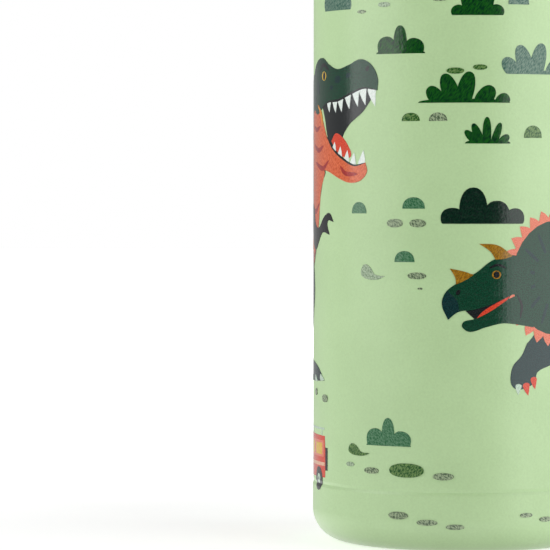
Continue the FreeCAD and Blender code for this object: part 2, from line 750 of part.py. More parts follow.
def cover_liner():
    bottom = DECK_Z + RING_T + RUN_GAP
    corner = COVER_CORNER - COVER_WALL - PLUG_GAP
    skin = dome(CLINER_R, bottom, CLINER_TOP, corner)
    return skin.cut(dome(CLINER_R - LINER_T, bottom, CLINER_TOP - LINER_T, corner - LINER_T))


def spout_stopper():
    top = CLINER_TOP - LINER_T
    stem = disc(STOPPER_R, top - STOPPER_H, top, STOPPER_Y)
    return stem.fuse(disc(STOPPER_PAD_R, top - STOPPER_PAD_T, top, STOPPER_Y))


# ---- button, bail and loop ---------------------------------------------------------------------
def push_button():
    face = block(-BUTTON_HALF, BUTTON_HALF, BUTTON_Y, CAVITY_Y + RUN_GAP, BUTTON_LOW, BUTTON_TOP)
    face = soften(face, BUTTON_SOFT, along(Y_AXIS))
    half = BUTTON_HALF + BUTTON_FLANGE
    flange = block(
        -half, half,
        CAVITY_Y + RUN_GAP, BUTTON_BACK,
        BUTTON_LOW - BUTTON_FLANGE, BUTTON_TOP + BUTTON_FLANGE,
    )
    arm = block(-HOOK_HALF, HOOK_HALF, BUTTON_BACK - BUTTON_FLANGE, RISER_BACK, ARM_Z, ARM_TOP)
    riser = block(-HOOK_HALF, HOOK_HALF, RISER_Y, RISER_BACK, ARM_Z, HOOK_Z + HOOK_H)
    hook_tip = TOOTH_TIP - HOOK_GRIP
    hook = side_plate(
        [
            (RISER_BACK, HOOK_Z),
            (hook_tip, HOOK_Z),
            (hook_tip, HOOK_Z + HOOK_H / 2),
            (RISER_Y, HOOK_Z + HOOK_H),
            (RISER_BACK, HOOK_Z + HOOK_H),
        ],
        -HOOK_HALF,
        HOOK_HALF,
    )
    button = face.fuse(flange).fuse(arm).fuse(riser).fuse(hook)
    pocket_y = BUTTON_BACK - BUTTON_FLANGE - PRESS_POCKET
    return button.cut(rod_y(PRESS_POCKET_R, pocket_y, BUTTON_BACK, 0, PRESS_Z))


def lock_bail():
    """A bent wire: two arms from the pivots and a bar across, leaning on the boss at rest."""
    bend = BAIL_BEND
    corner_x = BAIL_HALF - bend
    slant = bend * math.sin(math.pi / 4)
    arm_end = -(BAIL_L - bend)
    bar = Part.makeLine(V(0, 0, -BAIL_L), V(corner_x, 0, -BAIL_L))
    turn = Part.Arc(
        V(corner_x, 0, -BAIL_L),
        V(corner_x + slant, 0, arm_end - slant),
        V(BAIL_HALF, 0, arm_end),
    ).toShape()
    arm = Part.makeLine(V(BAIL_HALF, 0, arm_end), V(BAIL_HALF, 0, 0))
    section = Part.Wire(Part.makeCircle(BAIL_WIRE_R, V(0, 0, -BAIL_L), X_AXIS))
    half = Part.Wire([bar, turn, arm]).makePipeShell([section], True, False)
    half = half.fuse(rod_x(BAIL_EYE_R, BAIL_HALF - BAIL_EYE_T / 2, BAIL_HALF + BAIL_EYE_T / 2, 0, 0))
    half = half.fuse(rod_x(BAIL_PIN_R, BOSS_HALF - BOSS_WALL + SEAT_GAP, BAIL_HALF, 0, 0))
    bail = both_sides(half)
    bail.rotate(V(0, 0, 0), X_AXIS, -math.degrees(BAIL_LEAN))
    bail.translate(V(0, BAIL_Y, BAIL_Z))
    return bail


def carry_loop():
    x0 = LOOP_X - LOOP_T / 2
    top = LOOP_Z - BARREL_R - LUG_R
    wide = top - LOOP_SLOPE
    low = LOOP_Z - LOOP_DROP
    half, inner = LOOP_HALF, LOOP_HALF - LOOP_BAR
    neck = BARREL_HALF
    round_z = low + half
    plate = side_plate(
        [
            (-neck, LOOP_Z),
            (-neck, top),
            (-half, wide),
            (-half, round_z),
            arc((0, round_z), half, 180, 270),
            arc((0, round_z), half, 270, 360),
            (half, wide),
            (neck, top),
            (neck, LOOP_Z),
        ],
        x0,
        x0 + LOOP_T,
    )
    gap_top = top - LOOP_BAR
    gap_neck = neck / 2
    opening = side_plate(
        [
            (-gap_neck, gap_top),
            (-inner, wide - LOOP_BAR / 2),
            (-inner, round_z),
            arc((0, round_z), inner, 180, 270),
            arc((0, round_z), inner, 270, 360),
            (inner, wide - LOOP_BAR / 2),
            (gap_neck, gap_top),
        ],
        x0,
        x0 + LOOP_T,
    )
    body = plate.cut(opening)
    rims = [e for e in body.Edges if e.BoundBox.XLength < NEAR and e.BoundBox.ZMin < top - NEAR]
    body = body.makeFillet(LOOP_SOFT, rims)
    body = body.fuse(rod_y(BARREL_R, -neck, neck, LOOP_X, LOOP_Z))
    return body.cut(rod_y(LOOP_PIN_R + RUN_GAP, -neck, neck, LOOP_X, LOOP_Z))


PIECES = [
    outer_shell, base_cup, base_disc, vacuum_seal, getter, inner_liner, liner_bottom,
    neck_gasket,
    lid_shell, lid_core, hinge_pin, torsion_spring, button_spring, spout_base, straw, vent_valve,
    deck_ring, loop_pin,
    spout_tip,
    flip_cover, cover_liner, spout_stopper,
    push_button, lock_bail, carry_loop,
]

os.makedirs("parts", exist_ok=True)
for piece in PIECES:
    save(piece.__name__, piece())
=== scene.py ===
import math
import random

import bpy
import bmesh
from mathutils import Matrix, Vector
from mathutils.geometry import delaunay_2d_cdt


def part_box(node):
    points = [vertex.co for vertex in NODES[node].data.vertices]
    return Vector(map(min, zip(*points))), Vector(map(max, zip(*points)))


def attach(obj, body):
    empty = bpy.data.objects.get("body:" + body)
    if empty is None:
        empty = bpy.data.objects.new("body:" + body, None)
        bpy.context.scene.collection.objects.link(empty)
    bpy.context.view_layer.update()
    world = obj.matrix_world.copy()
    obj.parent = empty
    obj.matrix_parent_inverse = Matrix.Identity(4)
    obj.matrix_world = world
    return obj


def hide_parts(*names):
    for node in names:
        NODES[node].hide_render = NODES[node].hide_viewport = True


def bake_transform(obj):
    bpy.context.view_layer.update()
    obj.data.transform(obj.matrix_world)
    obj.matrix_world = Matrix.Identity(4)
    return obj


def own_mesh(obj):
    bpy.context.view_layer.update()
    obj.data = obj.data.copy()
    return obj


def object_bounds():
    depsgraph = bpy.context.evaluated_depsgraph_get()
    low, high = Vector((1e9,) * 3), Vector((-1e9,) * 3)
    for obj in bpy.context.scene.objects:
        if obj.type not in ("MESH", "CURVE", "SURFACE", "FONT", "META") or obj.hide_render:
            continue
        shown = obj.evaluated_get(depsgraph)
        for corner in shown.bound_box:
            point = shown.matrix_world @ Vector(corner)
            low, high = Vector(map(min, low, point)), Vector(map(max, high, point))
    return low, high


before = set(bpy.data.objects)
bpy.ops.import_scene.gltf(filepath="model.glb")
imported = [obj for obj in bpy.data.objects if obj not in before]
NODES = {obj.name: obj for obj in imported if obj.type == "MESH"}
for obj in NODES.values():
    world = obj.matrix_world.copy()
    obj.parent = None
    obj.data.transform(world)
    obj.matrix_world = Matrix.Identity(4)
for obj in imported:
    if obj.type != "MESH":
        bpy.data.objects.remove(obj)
cad_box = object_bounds()

MM = 0.001  # one millimetre in the scene's metres
MICRON = MM / 1000

# ---- the CAD model's sizes, in millimetres ----
BODY_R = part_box("outer_shell")[1].x / MM
CUP_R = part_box("base_cup")[1].x / MM
CUP_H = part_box("base_cup")[1].z / MM

CUP_CORNER = 7.5  # round foot of the cup
WELD_H = 0.7  # the cup and the tube slope down to the weld over this height
WELD_DEPTH = 0.15  # weld below the tube's surface
SHOULDER_Z = 168.0  # the coat ends here and the bare neck begins


def box_mm(node):
    """A node's lowest and highest points at rest, in millimetres."""
    return [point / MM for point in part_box(node)]


def placed(name, data):
    """A new object in the scene."""
    made = bpy.data.objects.new(name, data)
    bpy.context.scene.collection.objects.link(made)
    return made


def turns(count):
    """Angles spaced evenly round a circle."""
    return [2 * math.pi * k / count for k in range(count)]


def linear(value):
    """One sRGB channel, 0 to 255, as linear light."""
    share = value / 255
    return share / 12.92 if share <= 0.04045 else ((share + 0.055) / 1.055) ** 2.4


def srgb(r, g, b):
    return (linear(r), linear(g), linear(b), 1.0)


# ---- node materials ----
LEVELS = (0.3, 0.7)  # noise levels between which a finish changes


def add_node(tree, kind, inputs=(), **settings):
    """A shader node; each of its inputs is a value or another node's socket."""
    made = tree.nodes.new("ShaderNode" + kind)
    for label, value in settings.items():
        setattr(made, label, value)
    for label, value in dict(inputs).items():
        if isinstance(value, bpy.types.NodeSocket):
            tree.links.new(value, made.inputs[label])
        else:
            made.inputs[label].default_value = value
    return made


class Look:
    """A procedural material: one Principled shader with textures in object space."""

    def __init__(self, name, roughness=0.5, **fixed):
        self.material = bpy.data.materials.new(name)
        self.material.use_nodes = True
        self.tree = self.material.node_tree
        self.shader = self.tree.nodes["Principled BSDF"]
        self.shader.inputs["Roughness"].default_value = roughness
        for label, value in fixed.items():
            self.shader.inputs[label.replace("_", " ")].default_value = value
        self.space = self.node("TexCoord").outputs["Object"]

    def node(self, kind, inputs=(), **settings):
        return add_node(self.tree, kind, inputs, **settings)

    def math(self, operation, a, b=0.0):
        return self.node("Math", {0: a, 1: b}, operation=operation).outputs[0]

    def average(self, a, b):
        return self.math("MULTIPLY", self.math("ADD", a, b), 0.5)

    def mix(self, share, a, b):
        """Colour a where the share is 0, b where it is 1."""
        return self.node("Mix", {0: share, 6: a, 7: b}, data_type="RGBA").outputs[2]

    def around(self, radius):
        """Coordinates on a sleeve about Z: arc length, height and zero, in metres."""
        split = self.node("SeparateXYZ", {0: self.space}).outputs
        angle = self.math("ARCTAN2", split["X"], self.math("MULTIPLY", split["Y"], -1.0))
        arc = self.math("MULTIPLY", angle, radius)
        return self.node("CombineXYZ", {"X": arc, "Y": split["Z"]}).outputs[0]

    def grain(self, size, detail=2.0, stretch=(1, 1, 1), turn=0.0, space=None):
        """Noise whose features are about size metres across, drawn out along an axis."""
        scale = [1 / (size * s) for s in stretch]
        put = self.node(
            "Mapping",
            {"Vector": space or self.space, "Rotation": (0, 0, turn)},
            vector_type="POINT",
        ).outputs[0]
        sized = self.node("VectorMath", {0: put, 1: scale}, operation="MULTIPLY")
        noise = {"Vector": sized.outputs[0], "Scale": 1.0, "Detail": detail}
        return self.node("TexNoise", noise).outputs["Fac"]

    def tones(self, factor, dark, light, levels=LEVELS):
        """An sRGB colour that goes from dark to light between two noise levels."""
        made = self.node("ValToRGB", {"Fac": factor})
        for point, position, colour in zip(made.color_ramp.elements, levels, (dark, light)):
            point.position = position
            point.color = srgb(*colour)
        return made.outputs["Color"]

    def spread(self, factor, low, high, low_to, high_to):
        """The factor, carried from the range low to high over to another range."""
        inputs = enumerate((factor, low, high, low_to, high_to))
        return self.node("MapRange", inputs).outputs[0]

    def feed(self, label, socket):
        self.tree.links.new(socket, self.shader.inputs[label])

    def rough(self, factor, low, high):
        self.feed("Roughness", self.spread(factor, *LEVELS, low, high))

    def bump(self, *heights):
        """Relief from (noise factor, depth in metres) pairs, one on top of another."""
        normal = None
        for factor, depth in heights:
            made = self.node("Bump", {"Height": factor, "Strength": 1.0, "Distance": depth})
            if normal is not None:
                self.tree.links.new(normal, made.inputs["Normal"])
            normal = made.outputs[0]
        self.feed("Normal", normal)


COAT_DARK = (186, 217, 162)
COAT_LIGHT = (194, 225, 170)


def coated(look):
    """The powder coat's speckle, gloss and orange peel; gives its colour."""
    cloud = look.grain(14 * MM, 3)
    peel = look.grain(1.4 * MM)
    speck = look.grain(0.5 * MM)
    fine = look.grain(0.24 * MM)
    look.rough(fine, 0.3, 0.44)
    look.bump((peel, 60 * MICRON), (speck, 26 * MICRON), (fine, 10 * MICRON))
    return look.tones(look.average(cloud, speck), COAT_DARK, COAT_LIGHT, (0.35, 0.65))


def powder_coat():
    """Matt pale-green powder coat."""
    look = Look("powder_coat_green", 0.4)
    look.feed("Base Color", coated(look))
    return look.material


def ink(name, dark, light, grain=0.2, stretch=(1, 4, 1), turn=0.6, levels=(0.42, 0.58)):
    """Printed ink: two tones drawn as fine fibres, glossier than the coat under it."""
    look = Look("ink_" + name, 0.2, Specular_IOR_Level=0.45)
    fibre = look.grain(grain * MM, 1, stretch, turn, look.around(BODY_R * MM))
    ripple = look.grain(1.2 * MM)
    speck = look.grain(0.5 * MM)
    fine = look.grain(0.35 * MM, 1)
    look.feed("Base Color", look.tones(fibre, dark, light, levels))
    look.rough(fine, 0.13, 0.22)
    look.bump((ripple, 30 * MICRON), (speck, 22 * MICRON), (fine, 12 * MICRON))
    return look.material


EVEN = (1, 1, 1)  # an ink without fibres
INKS = {
    "bush": dict(dark=(0, 54, 26), light=(24, 94, 24), stretch=(1, 6, 1)),
    "dark_bush": dict(dark=(0, 34, 24), light=(8, 48, 30)),
    "grey_bush": dict(dark=(52, 98, 82), light=(112, 142, 124)),
    "hide": dict(dark=(0, 52, 32), light=(6, 76, 50), stretch=EVEN, grain=0.25),
    "hide_deep": dict(dark=(0, 40, 42), light=(10, 60, 60), stretch=EVEN, grain=0.25),
    "black": dict(dark=(16, 22, 24), light=(30, 36, 38), stretch=EVEN),
    "orange": dict(dark=(206, 84, 44), light=(232, 118, 72)),
    "salmon": dict(dark=(222, 104, 78), light=(240, 142, 112), stretch=EVEN),
    "red": dict(dark=(150, 34, 34), light=(186, 52, 44)),
    "scarlet": dict(dark=(204, 50, 32), light=(234, 84, 52), stretch=EVEN),
    "amber": dict(dark=(220, 130, 30), light=(240, 160, 60)),
    "ochre": dict(dark=(128, 88, 14), light=(178, 128, 26)),
    "cream": dict(dark=(226, 168, 132), light=(240, 196, 164)),
    "white": dict(dark=(226, 238, 228), light=(244, 250, 246)),
    "shade": dict(dark=(176, 202, 178), light=(206, 226, 206)),
    "yellow": dict(dark=(216, 170, 40), light=(238, 198, 74)),
    "pebble": dict(
        dark=(84, 104, 78), light=(164, 182, 146), grain=0.24, stretch=(1, 3, 1), turn=2.4,
        levels=(0.44, 0.54),
    ),
    "pale_pebble": dict(dark=(124, 148, 118), light=(182, 202, 170), grain=0.22, stretch=(1, 2, 1)),
    "moss": dict(dark=(30, 84, 34), light=(112, 146, 84), grain=0.24, stretch=(1, 3, 1), levels=(0.44, 0.54)),
    "dome": dict(dark=(46, 104, 66), light=(98, 144, 108), grain=0.22, stretch=(1, 3, 1), turn=2.4),
    "violet": dict(dark=(88, 84, 100), light=(112, 108, 120)),
}


def ink_material(tone):
    """The shared material of one ink."""
    return bpy.data.materials.get("ink_" + tone) or ink(tone, **INKS[tone])


# ---- outlines of the print, in millimetres of arc and of height ----
OVAL_POINTS = 28
SWELL = 0.6  # under 1, a drawn line is wide along most of its length
TAIL = (1, 0.05)  # a drawn line's ends: blunt at its start, a point at its end
TOOTH_ROOT = 0.3  # root of a tooth inside its gum


class Corner(tuple):
    """A point of an outline where the line turns sharply."""


def corner(u, z):
    return Corner((u, z))


def smooth(points, closed=True, step=0.5):
    """A line through the points that is round at each, apart from the corners."""
    count = len(points)
    line = []
    for i in range(count if closed else count - 1):
        a, b = Vector(points[i]), Vector(points[(i + 1) % count])
        before = Vector(points[i - 1]) if closed or i else a
        after = Vector(points[(i + 2) % count]) if closed or i + 2 < count else b
        reach = (b - a).length
        leave = arrive = b - a
        if not isinstance(points[i], Corner):
            leave = (b - before).normalized() * reach
        if not isinstance(points[(i + 1) % count], Corner):
            arrive = (after - a).normalized() * reach
        pieces = max(4, math.ceil(reach / step))
        for k in range(pieces):
            t = k / pieces
            line.append(
                a * (2 * t ** 3 - 3 * t ** 2 + 1) + leave * (t ** 3 - 2 * t ** 2 + t)
                + b * (3 * t ** 2 - 2 * t ** 3) + arrive * (t ** 3 - t ** 2)
            )
    return line if closed else line + [Vector(points[-1])]


def oval(u, z, width, height, tilt=0.0, power=1.0):
    """An ellipse; a power under 1 squares it."""
    line = []
    for angle in turns(OVAL_POINTS):
        c, s = math.cos(angle), math.sin(angle)
        x = math.copysign(abs(c) ** power, c) * width / 2
        y = math.copysign(abs(s) ** power, s) * height / 2
        line.append(Vector((
            u + x * math.cos(tilt) - y * math.sin(tilt),
            z + x * math.sin(tilt) + y * math.cos(tilt),
        )))
    return line


def rectangle(u0, u1, z0, z1):
    return [Vector(p) for p in ((u0, z0), (u1, z0), (u1, z1), (u0, z1))]


def stroke(points, width, ends=(0.1, 0.1)):
    """A drawn line that swells to width in its middle and thins to a share of it at each end."""
    line = smooth(points, closed=False)
    left, right = [], []
    for i, p in enumerate(line):
        ahead, behind = line[min(i + 1, len(line) - 1)], line[max(i - 1, 0)]
        side = (ahead - behind).normalized().orthogonal()
        t = i / (len(line) - 1)
        full = math.sin(math.pi * t) ** SWELL if 0 < t < 1 else 0.0
        end = ends[0] * (1 - t) + ends[1] * t
        half = width / 2 * (end + (1 - end) * full)
        left.append(p + side * half)
        right.append(p - side * half)
    return left + right[::-1]


def strokes(*rows, ends=(0.1, 0.1)):
    """Drawn lines; a row is (width, point, point ...)."""
    return [stroke(points, width, ends) for width, *points in rows]


def tooth(u, z, width, length, angle):
    """A curved fang from its root's middle; angle 0 points down."""
    shape = [
        (-width / 2, TOOTH_ROOT), (-width * 0.36, -length * 0.5), corner(width * 0.1, -length),
        (width * 0.4, -length * 0.4), (width / 2, TOOTH_ROOT),
    ]
    c, s = math.cos(angle), math.sin(angle)
    return smooth([type(p)((u + p[0] * c - p[1] * s, z + p[0] * s + p[1] * c)) for p in shape])


def teeth(path, count, first, last, angles):
    """Fangs along a path, their (width, length) and angle changing evenly from end to end."""
    line = smooth(path, closed=False)
    made = []
    for i in range(count):
        t = i / (count - 1)
        u, z = line[round(t * (len(line) - 1))]
        width = first[0] + (last[0] - first[0]) * t
        length = first[1] + (last[1] - first[1]) * t
        made.append(tooth(u, z, width, length, angles[0] + (angles[1] - angles[0]) * t))
    return made


# ---- ink on the bottle ----
INK_UNDER = 0.1  # how far an ink shape reaches into the steel
INK_OVER = 0.03  # thickness of the first ink
INK_STEP = 0.006  # each further ink lies this much higher
STRIP = 1.0  # widest facet round the bottle
SAME_POINT = 1e-4  # outline points closer than this are one


def skin_radius(z):
    """The bottle's outer radius at a height: round foot, cup, groove at the weld, tube."""
    if z < CUP_CORNER:
        return CUP_R - CUP_CORNER + math.sqrt(CUP_CORNER ** 2 - (CUP_CORNER - z) ** 2)
    side = CUP_R if z < CUP_H else BODY_R
    share = min(abs(z - CUP_H) / WELD_H, 1)
    return side * share + (BODY_R - WELD_DEPTH) * (1 - share)


def on_bottle(u, z, height):
    """A point of the print, in metres, at a height over the skin."""
    angle = u / BODY_R
    radius = skin_radius(z) + height
    return (radius * math.sin(angle) * MM, -radius * math.cos(angle) * MM, z * MM)


def counter_clockwise(line):
    area = sum(a.x * b.y - b.x * a.y for a, b in zip(line, line[1:] + line[:1]))
    return line if area > 0 else line[::-1]


def flat_union(outlines):
    """One flat mesh that covers all the outlines, cut into strips narrow enough to bend."""
    points, faces = [], []
    for line in outlines:
        faces.append(list(range(len(points), len(points) + len(line))))
        points += [Vector(p[:2]) for p in counter_clockwise(line)]
    verts, _, triangles = delaunay_2d_cdt(points, [], faces, 1, SAME_POINT)[:3]
    flat = bmesh.new()
    made = [flat.verts.new((p.x, p.y, 0)) for p in verts]
    for triangle in triangles:
        flat.faces.new([made[i] for i in triangle])
    first = math.ceil(min(p.x for p in verts) / STRIP)
    last = math.floor(max(p.x for p in verts) / STRIP)
    cuts = [((k * STRIP, 0, 0), (1, 0, 0)) for k in range(first, last + 1)]
    cuts += [((0, z, 0), (0, 1, 0)) for z in (CUP_H - WELD_H, CUP_H, CUP_H + WELD_H)]
    for place, across in cuts:
        everything = flat.verts[:] + flat.edges[:] + flat.faces[:]
        bmesh.ops.bisect_plane(flat, geom=everything, plane_co=place, plane_no=across)
    return flat


def ink_layers(name, layers):
    """A piece of the print: closed ink shapes, one above another, in their painting order."""
    verts, faces, tones = [], [], []
    inks = sorted({tone for tone, _ in layers})
    for level, (tone, outlines) in enumerate(layers):
        flat = flat_union(outlines)
        flat.verts.index_update()
        first, count = len(verts), len(flat.verts)
        top = INK_OVER + INK_STEP * level
        verts += [on_bottle(v.co.x, v.co.y, top) for v in flat.verts]
        verts += [on_bottle(v.co.x, v.co.y, -INK_UNDER) for v in flat.verts]
        rings = [[first + v.index for v in f.verts] for f in flat.faces]
        rings += [[i + count for i in reversed(ring)] for ring in rings]
        for edge in flat.edges:
            if edge.is_boundary:
                loop = edge.link_loops[0]
                a, b = first + loop.vert.index, first + loop.link_loop_next.vert.index
                rings.append([b, a, a + count, b + count])
        faces += rings
        tones += [inks.index(tone)] * len(rings)
        flat.free()
    mesh = bpy.data.meshes.new(name)
    mesh.from_pydata(verts, [], faces)
    mesh.polygons.foreach_set("material_index", tones)
    for tone in inks:
        mesh.materials.append(ink_material(tone))
    piece = placed(name, mesh)
    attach(piece, "bottle")


def moved(layers, du, dz=0.0):
    """The same drawing elsewhere."""
    shift = Vector((du, dz))
    return [(tone, [[p + shift for p in line] for line in outlines]) for tone, outlines in layers]


# ---- drawings: plants and stones ----
def resting(line, z):
    """The part of a closed line above a height, with a flat foot there."""
    return [Vector((p.x, max(p.y, z))) for p in line]


def bush(u, z, width, *leaves):
    """Rounded leaves on a flat foot; a leaf is (tip offset, height, width, root offset)."""
    shapes = [resting(oval(u, z, width * 0.9, 1.8, power=0.8), z)]
    for offset, height, across, root in leaves:
        tip, foot = Vector((u + offset, z + height)), Vector((u + root, z - height * 0.3))
        middle, reach = (tip + foot) / 2, tip - foot
        leaf = oval(middle.x, middle.y, across, reach.length, math.atan2(-reach.x, reach.y), 0.9)
        shapes.append(resting(leaf, z))
    return shapes


def dome(u, z, width, height):
    return [resting(oval(u, z, width, height * 2, power=0.9), z)]


def pebble(u, z, width, height):
    return [oval(u, z, width, height, power=0.88)]


def tailed_stone(u, z, width, height):
    """A round stone with a drawn-out side."""
    return [smooth([
        (u - width * 0.5, z), (u - width * 0.36, z + height * 0.6), (u - width * 0.1, z + height * 0.42),
        (u + width * 0.1, z - height * 0.06), corner(u + width * 0.5, z - height * 0.16),
        (u + width * 0.2, z - height * 0.4), (u - width * 0.3, z - height * 0.34),
    ])]


# leaves of the plants
THREE = ((-3.7, 3.9, 4.8, -3), (0.1, 6.4, 3.3, 0.1), (4, 3.4, 4.7, 3))
FOUR = (
    (-8.2, 3.5, 3.5, -4.4), (-4.6, 6.5, 3.9, -1.4), (1.4, 7, 3.9, -1), (6.6, 3.6, 3.9, 2.8),
    (10.2, 1.6, 3, 7.4),
)
FIVE = (
    (-5.2, 2.9, 1.9, -1.4), (-3.4, 4.5, 2, -1), (-0.2, 6, 2, -0.3), (2.9, 4.7, 1.7, 0.8),
    (4.8, 1.9, 1.9, 2.2),
)
TWINS = ((-5, 2.2, 3.2, -3.8), (-2.8, 7.2, 3.8, -0.6), (2.8, 7.4, 3.8, 0.6), (5, 2.3, 3.4, 3.8))
CLOUD = ((-6.8, 3.6, 5.4, -6.8), (-2.1, 8.2, 6.4, -2.1), (3.3, 5.2, 6, 3.3), (7.6, 3.5, 4.4, 7.6))

# ink, place, width and leaves
PLANTS = (
    ("grey_bush", -18.4, 123.9, 10.4, THREE), ("bush", 1.2, 113.4, 13.6, THREE),
    ("bush", 19.2, 121.9, 12.2, TWINS), ("bush", 16.2, 102.2, 23.4, FOUR),
    ("grey_bush", 33.4, 108.7, 14, FOUR), ("bush", 21.6, 93, 11.6, FIVE),
    ("dark_bush", 20.4, 74.9, 18.2, CLOUD), ("dome", -1.8, 24.3, 13, THREE),
    ("dark_bush", 52.6, 96, 18, CLOUD), ("bush", 74, 84, 20, FOUR),
    ("bush", 60.4, 116.8, 13, THREE), ("grey_bush", 77.6, 104, 12, TWINS),
    ("bush", 82.6, 68.6, 12.6, FIVE), ("bush", 92, 40, 12, THREE),
    ("dark_bush", 112, 96.6, 17, CLOUD), ("bush", 126.4, 84, 12, TWINS),
    ("bush", 114, 114.6, 20, FOUR), ("grey_bush", 139.6, 108.4, 12.6, THREE),
    ("bush", 143, 90, 18, FOUR), ("dark_bush", 150.4, 75.6, 16.6, CLOUD),
    ("bush", 150, 44.6, 12, FIVE), ("bush", -50.2, 114, 13, TWINS),
    ("grey_bush", 88.6, 26.4, 12, THREE), ("bush", 146.6, 25, 13, TWINS),
    ("bush", -36.4, 134.4, 19, FOUR), ("dark_bush", 3, 135, 17, CLOUD),
    ("grey_bush", 35.4, 140.6, 12, THREE), ("bush", 79.6, 130.4, 18, FOUR),
    ("bush", 100.4, 141, 12, FIVE), ("dark_bush", 128, 132, 16.6, CLOUD),
    ("bush", 143, 147, 12.6, TWINS), ("bush", 52.6, 148.8, 12, FIVE),
    ("bush", 14, 150.2, 11.6, THREE), ("grey_bush", -30, 148.4, 12, TWINS),
)

# shape, ink, place, width and height
STONES = (
    (dome, "moss", 3.9, 98.1, 4.4, 1.9), (dome, "moss", 32.4, 94.3, 4.6, 2.8),
    (dome, "dome", -10, 77.2, 4.6, 2.6), (dome, "dome", 4.6, 78.3, 5.4, 2.6),
    (dome, "pebble", 10.3, 98.1, 4.2, 1.9), (dome, "dome", 2.4, 66.2, 4.9, 2.5),
    (pebble, "pebble", 0, 75, 4, 1.9), (pebble, "pebble", 5.6, 75, 3.9, 1.8),
    (pebble, "pebble", 5.4, 63.1, 4.4, 1.5), (pebble, "pebble", 6.2, 60.2, 1.2, 0.5),
    (tailed_stone, "pale_pebble", -5.9, 63.5, 6.8, 3.4), (pebble, "pebble", -9.2, 123.2, 2.6, 0.8),
    (pebble, "pale_pebble", -2.8, 124.6, 3.2, 1.1), (pebble, "pebble", 10.6, 125.6, 3.4, 1),
    (dome, "grey_bush", 28.8, 124.4, 5, 3), (pebble, "moss", 14.2, 109.4, 4, 1.4),
    (pebble, "moss", 19.8, 110.2, 3.2, 1.2), (pebble, "pebble", -30.4, 35.3, 2, 1.6),
    (pebble, "pebble", -23.8, 34.1, 3.2, 1.8), (tailed_stone, "moss", -10, 22.8, 6.6, 2.6),
    (pebble, "pale_pebble", -12.8, 19.6, 2.6, 1), (pebble, "pebble", -6.2, 18.5, 4, 1.4),
    (pebble, "moss", 2.9, 18.9, 8.4, 3.2), (pebble, "pebble", 11.6, 17.7, 4.8, 1.6),
    (pebble, "pebble", 1, 8.6, 4.8, 1.7), (pebble, "pebble", 7.9, 7.2, 4.8, 1.3),
    (pebble, "pebble", 14.3, 6.3, 4.2, 1.2), (pebble, "pebble", 30.8, 8.8, 3, 1),
    (pebble, "pebble", 35.9, 7.7, 3.4, 1.1),
)
PICTURES = (  # u and z ranges of an animal or a vehicle
    (84, 100, 78, 120), (40, 76, 12, 30), (98, 140, 12, 30), (-66, -20, 12, 30), (44, 56, 66, 80),
    (143, 176, 82, 116),
)
STONE_TRIES = 240
STONE_ASIDE, STONE_BELOW, STONE_ABOVE = 12.5, 5, 9.5  # clear room round a plant or a stone


def plants():
    return [(tone, bush(u, z, width, *leaves)) for tone, u, z, width, leaves in PLANTS]


def crowded(u, z, taken):
    """Whether a stone there would touch another motif."""
    if any(u0 < u < u1 and z0 < z < z1 for u0, u1, z0, z1 in PICTURES):
        return True
    return any(abs(u - a) < STONE_ASIDE and -STONE_BELOW < z - b < STONE_ABOVE for a, b in taken)


def stones():
    """The placed stones, and seeded ones round the back of the bottle."""
    layers = [(tone, shape(*numbers)) for shape, tone, *numbers in STONES]
    rng = random.Random(11)
    taken = [(u, z) for _, u, z, _, _ in PLANTS]
    for _ in range(STONE_TRIES):
        u = rng.uniform(44, 170)
        z = rng.choice((rng.uniform(6, 34), rng.uniform(82, 152)))
        width = rng.uniform(2.4, 5.2)
        tone = rng.choice(("pebble", "moss", "pale_pebble", "pebble"))
        shape = rng.choice((dome, pebble, pebble))
        if not crowded(u, z, taken):
            taken.append((u, z - 2))
            layers.append((tone, shape(u, z, width, width * rng.uniform(0.34, 0.46))))
    return layers


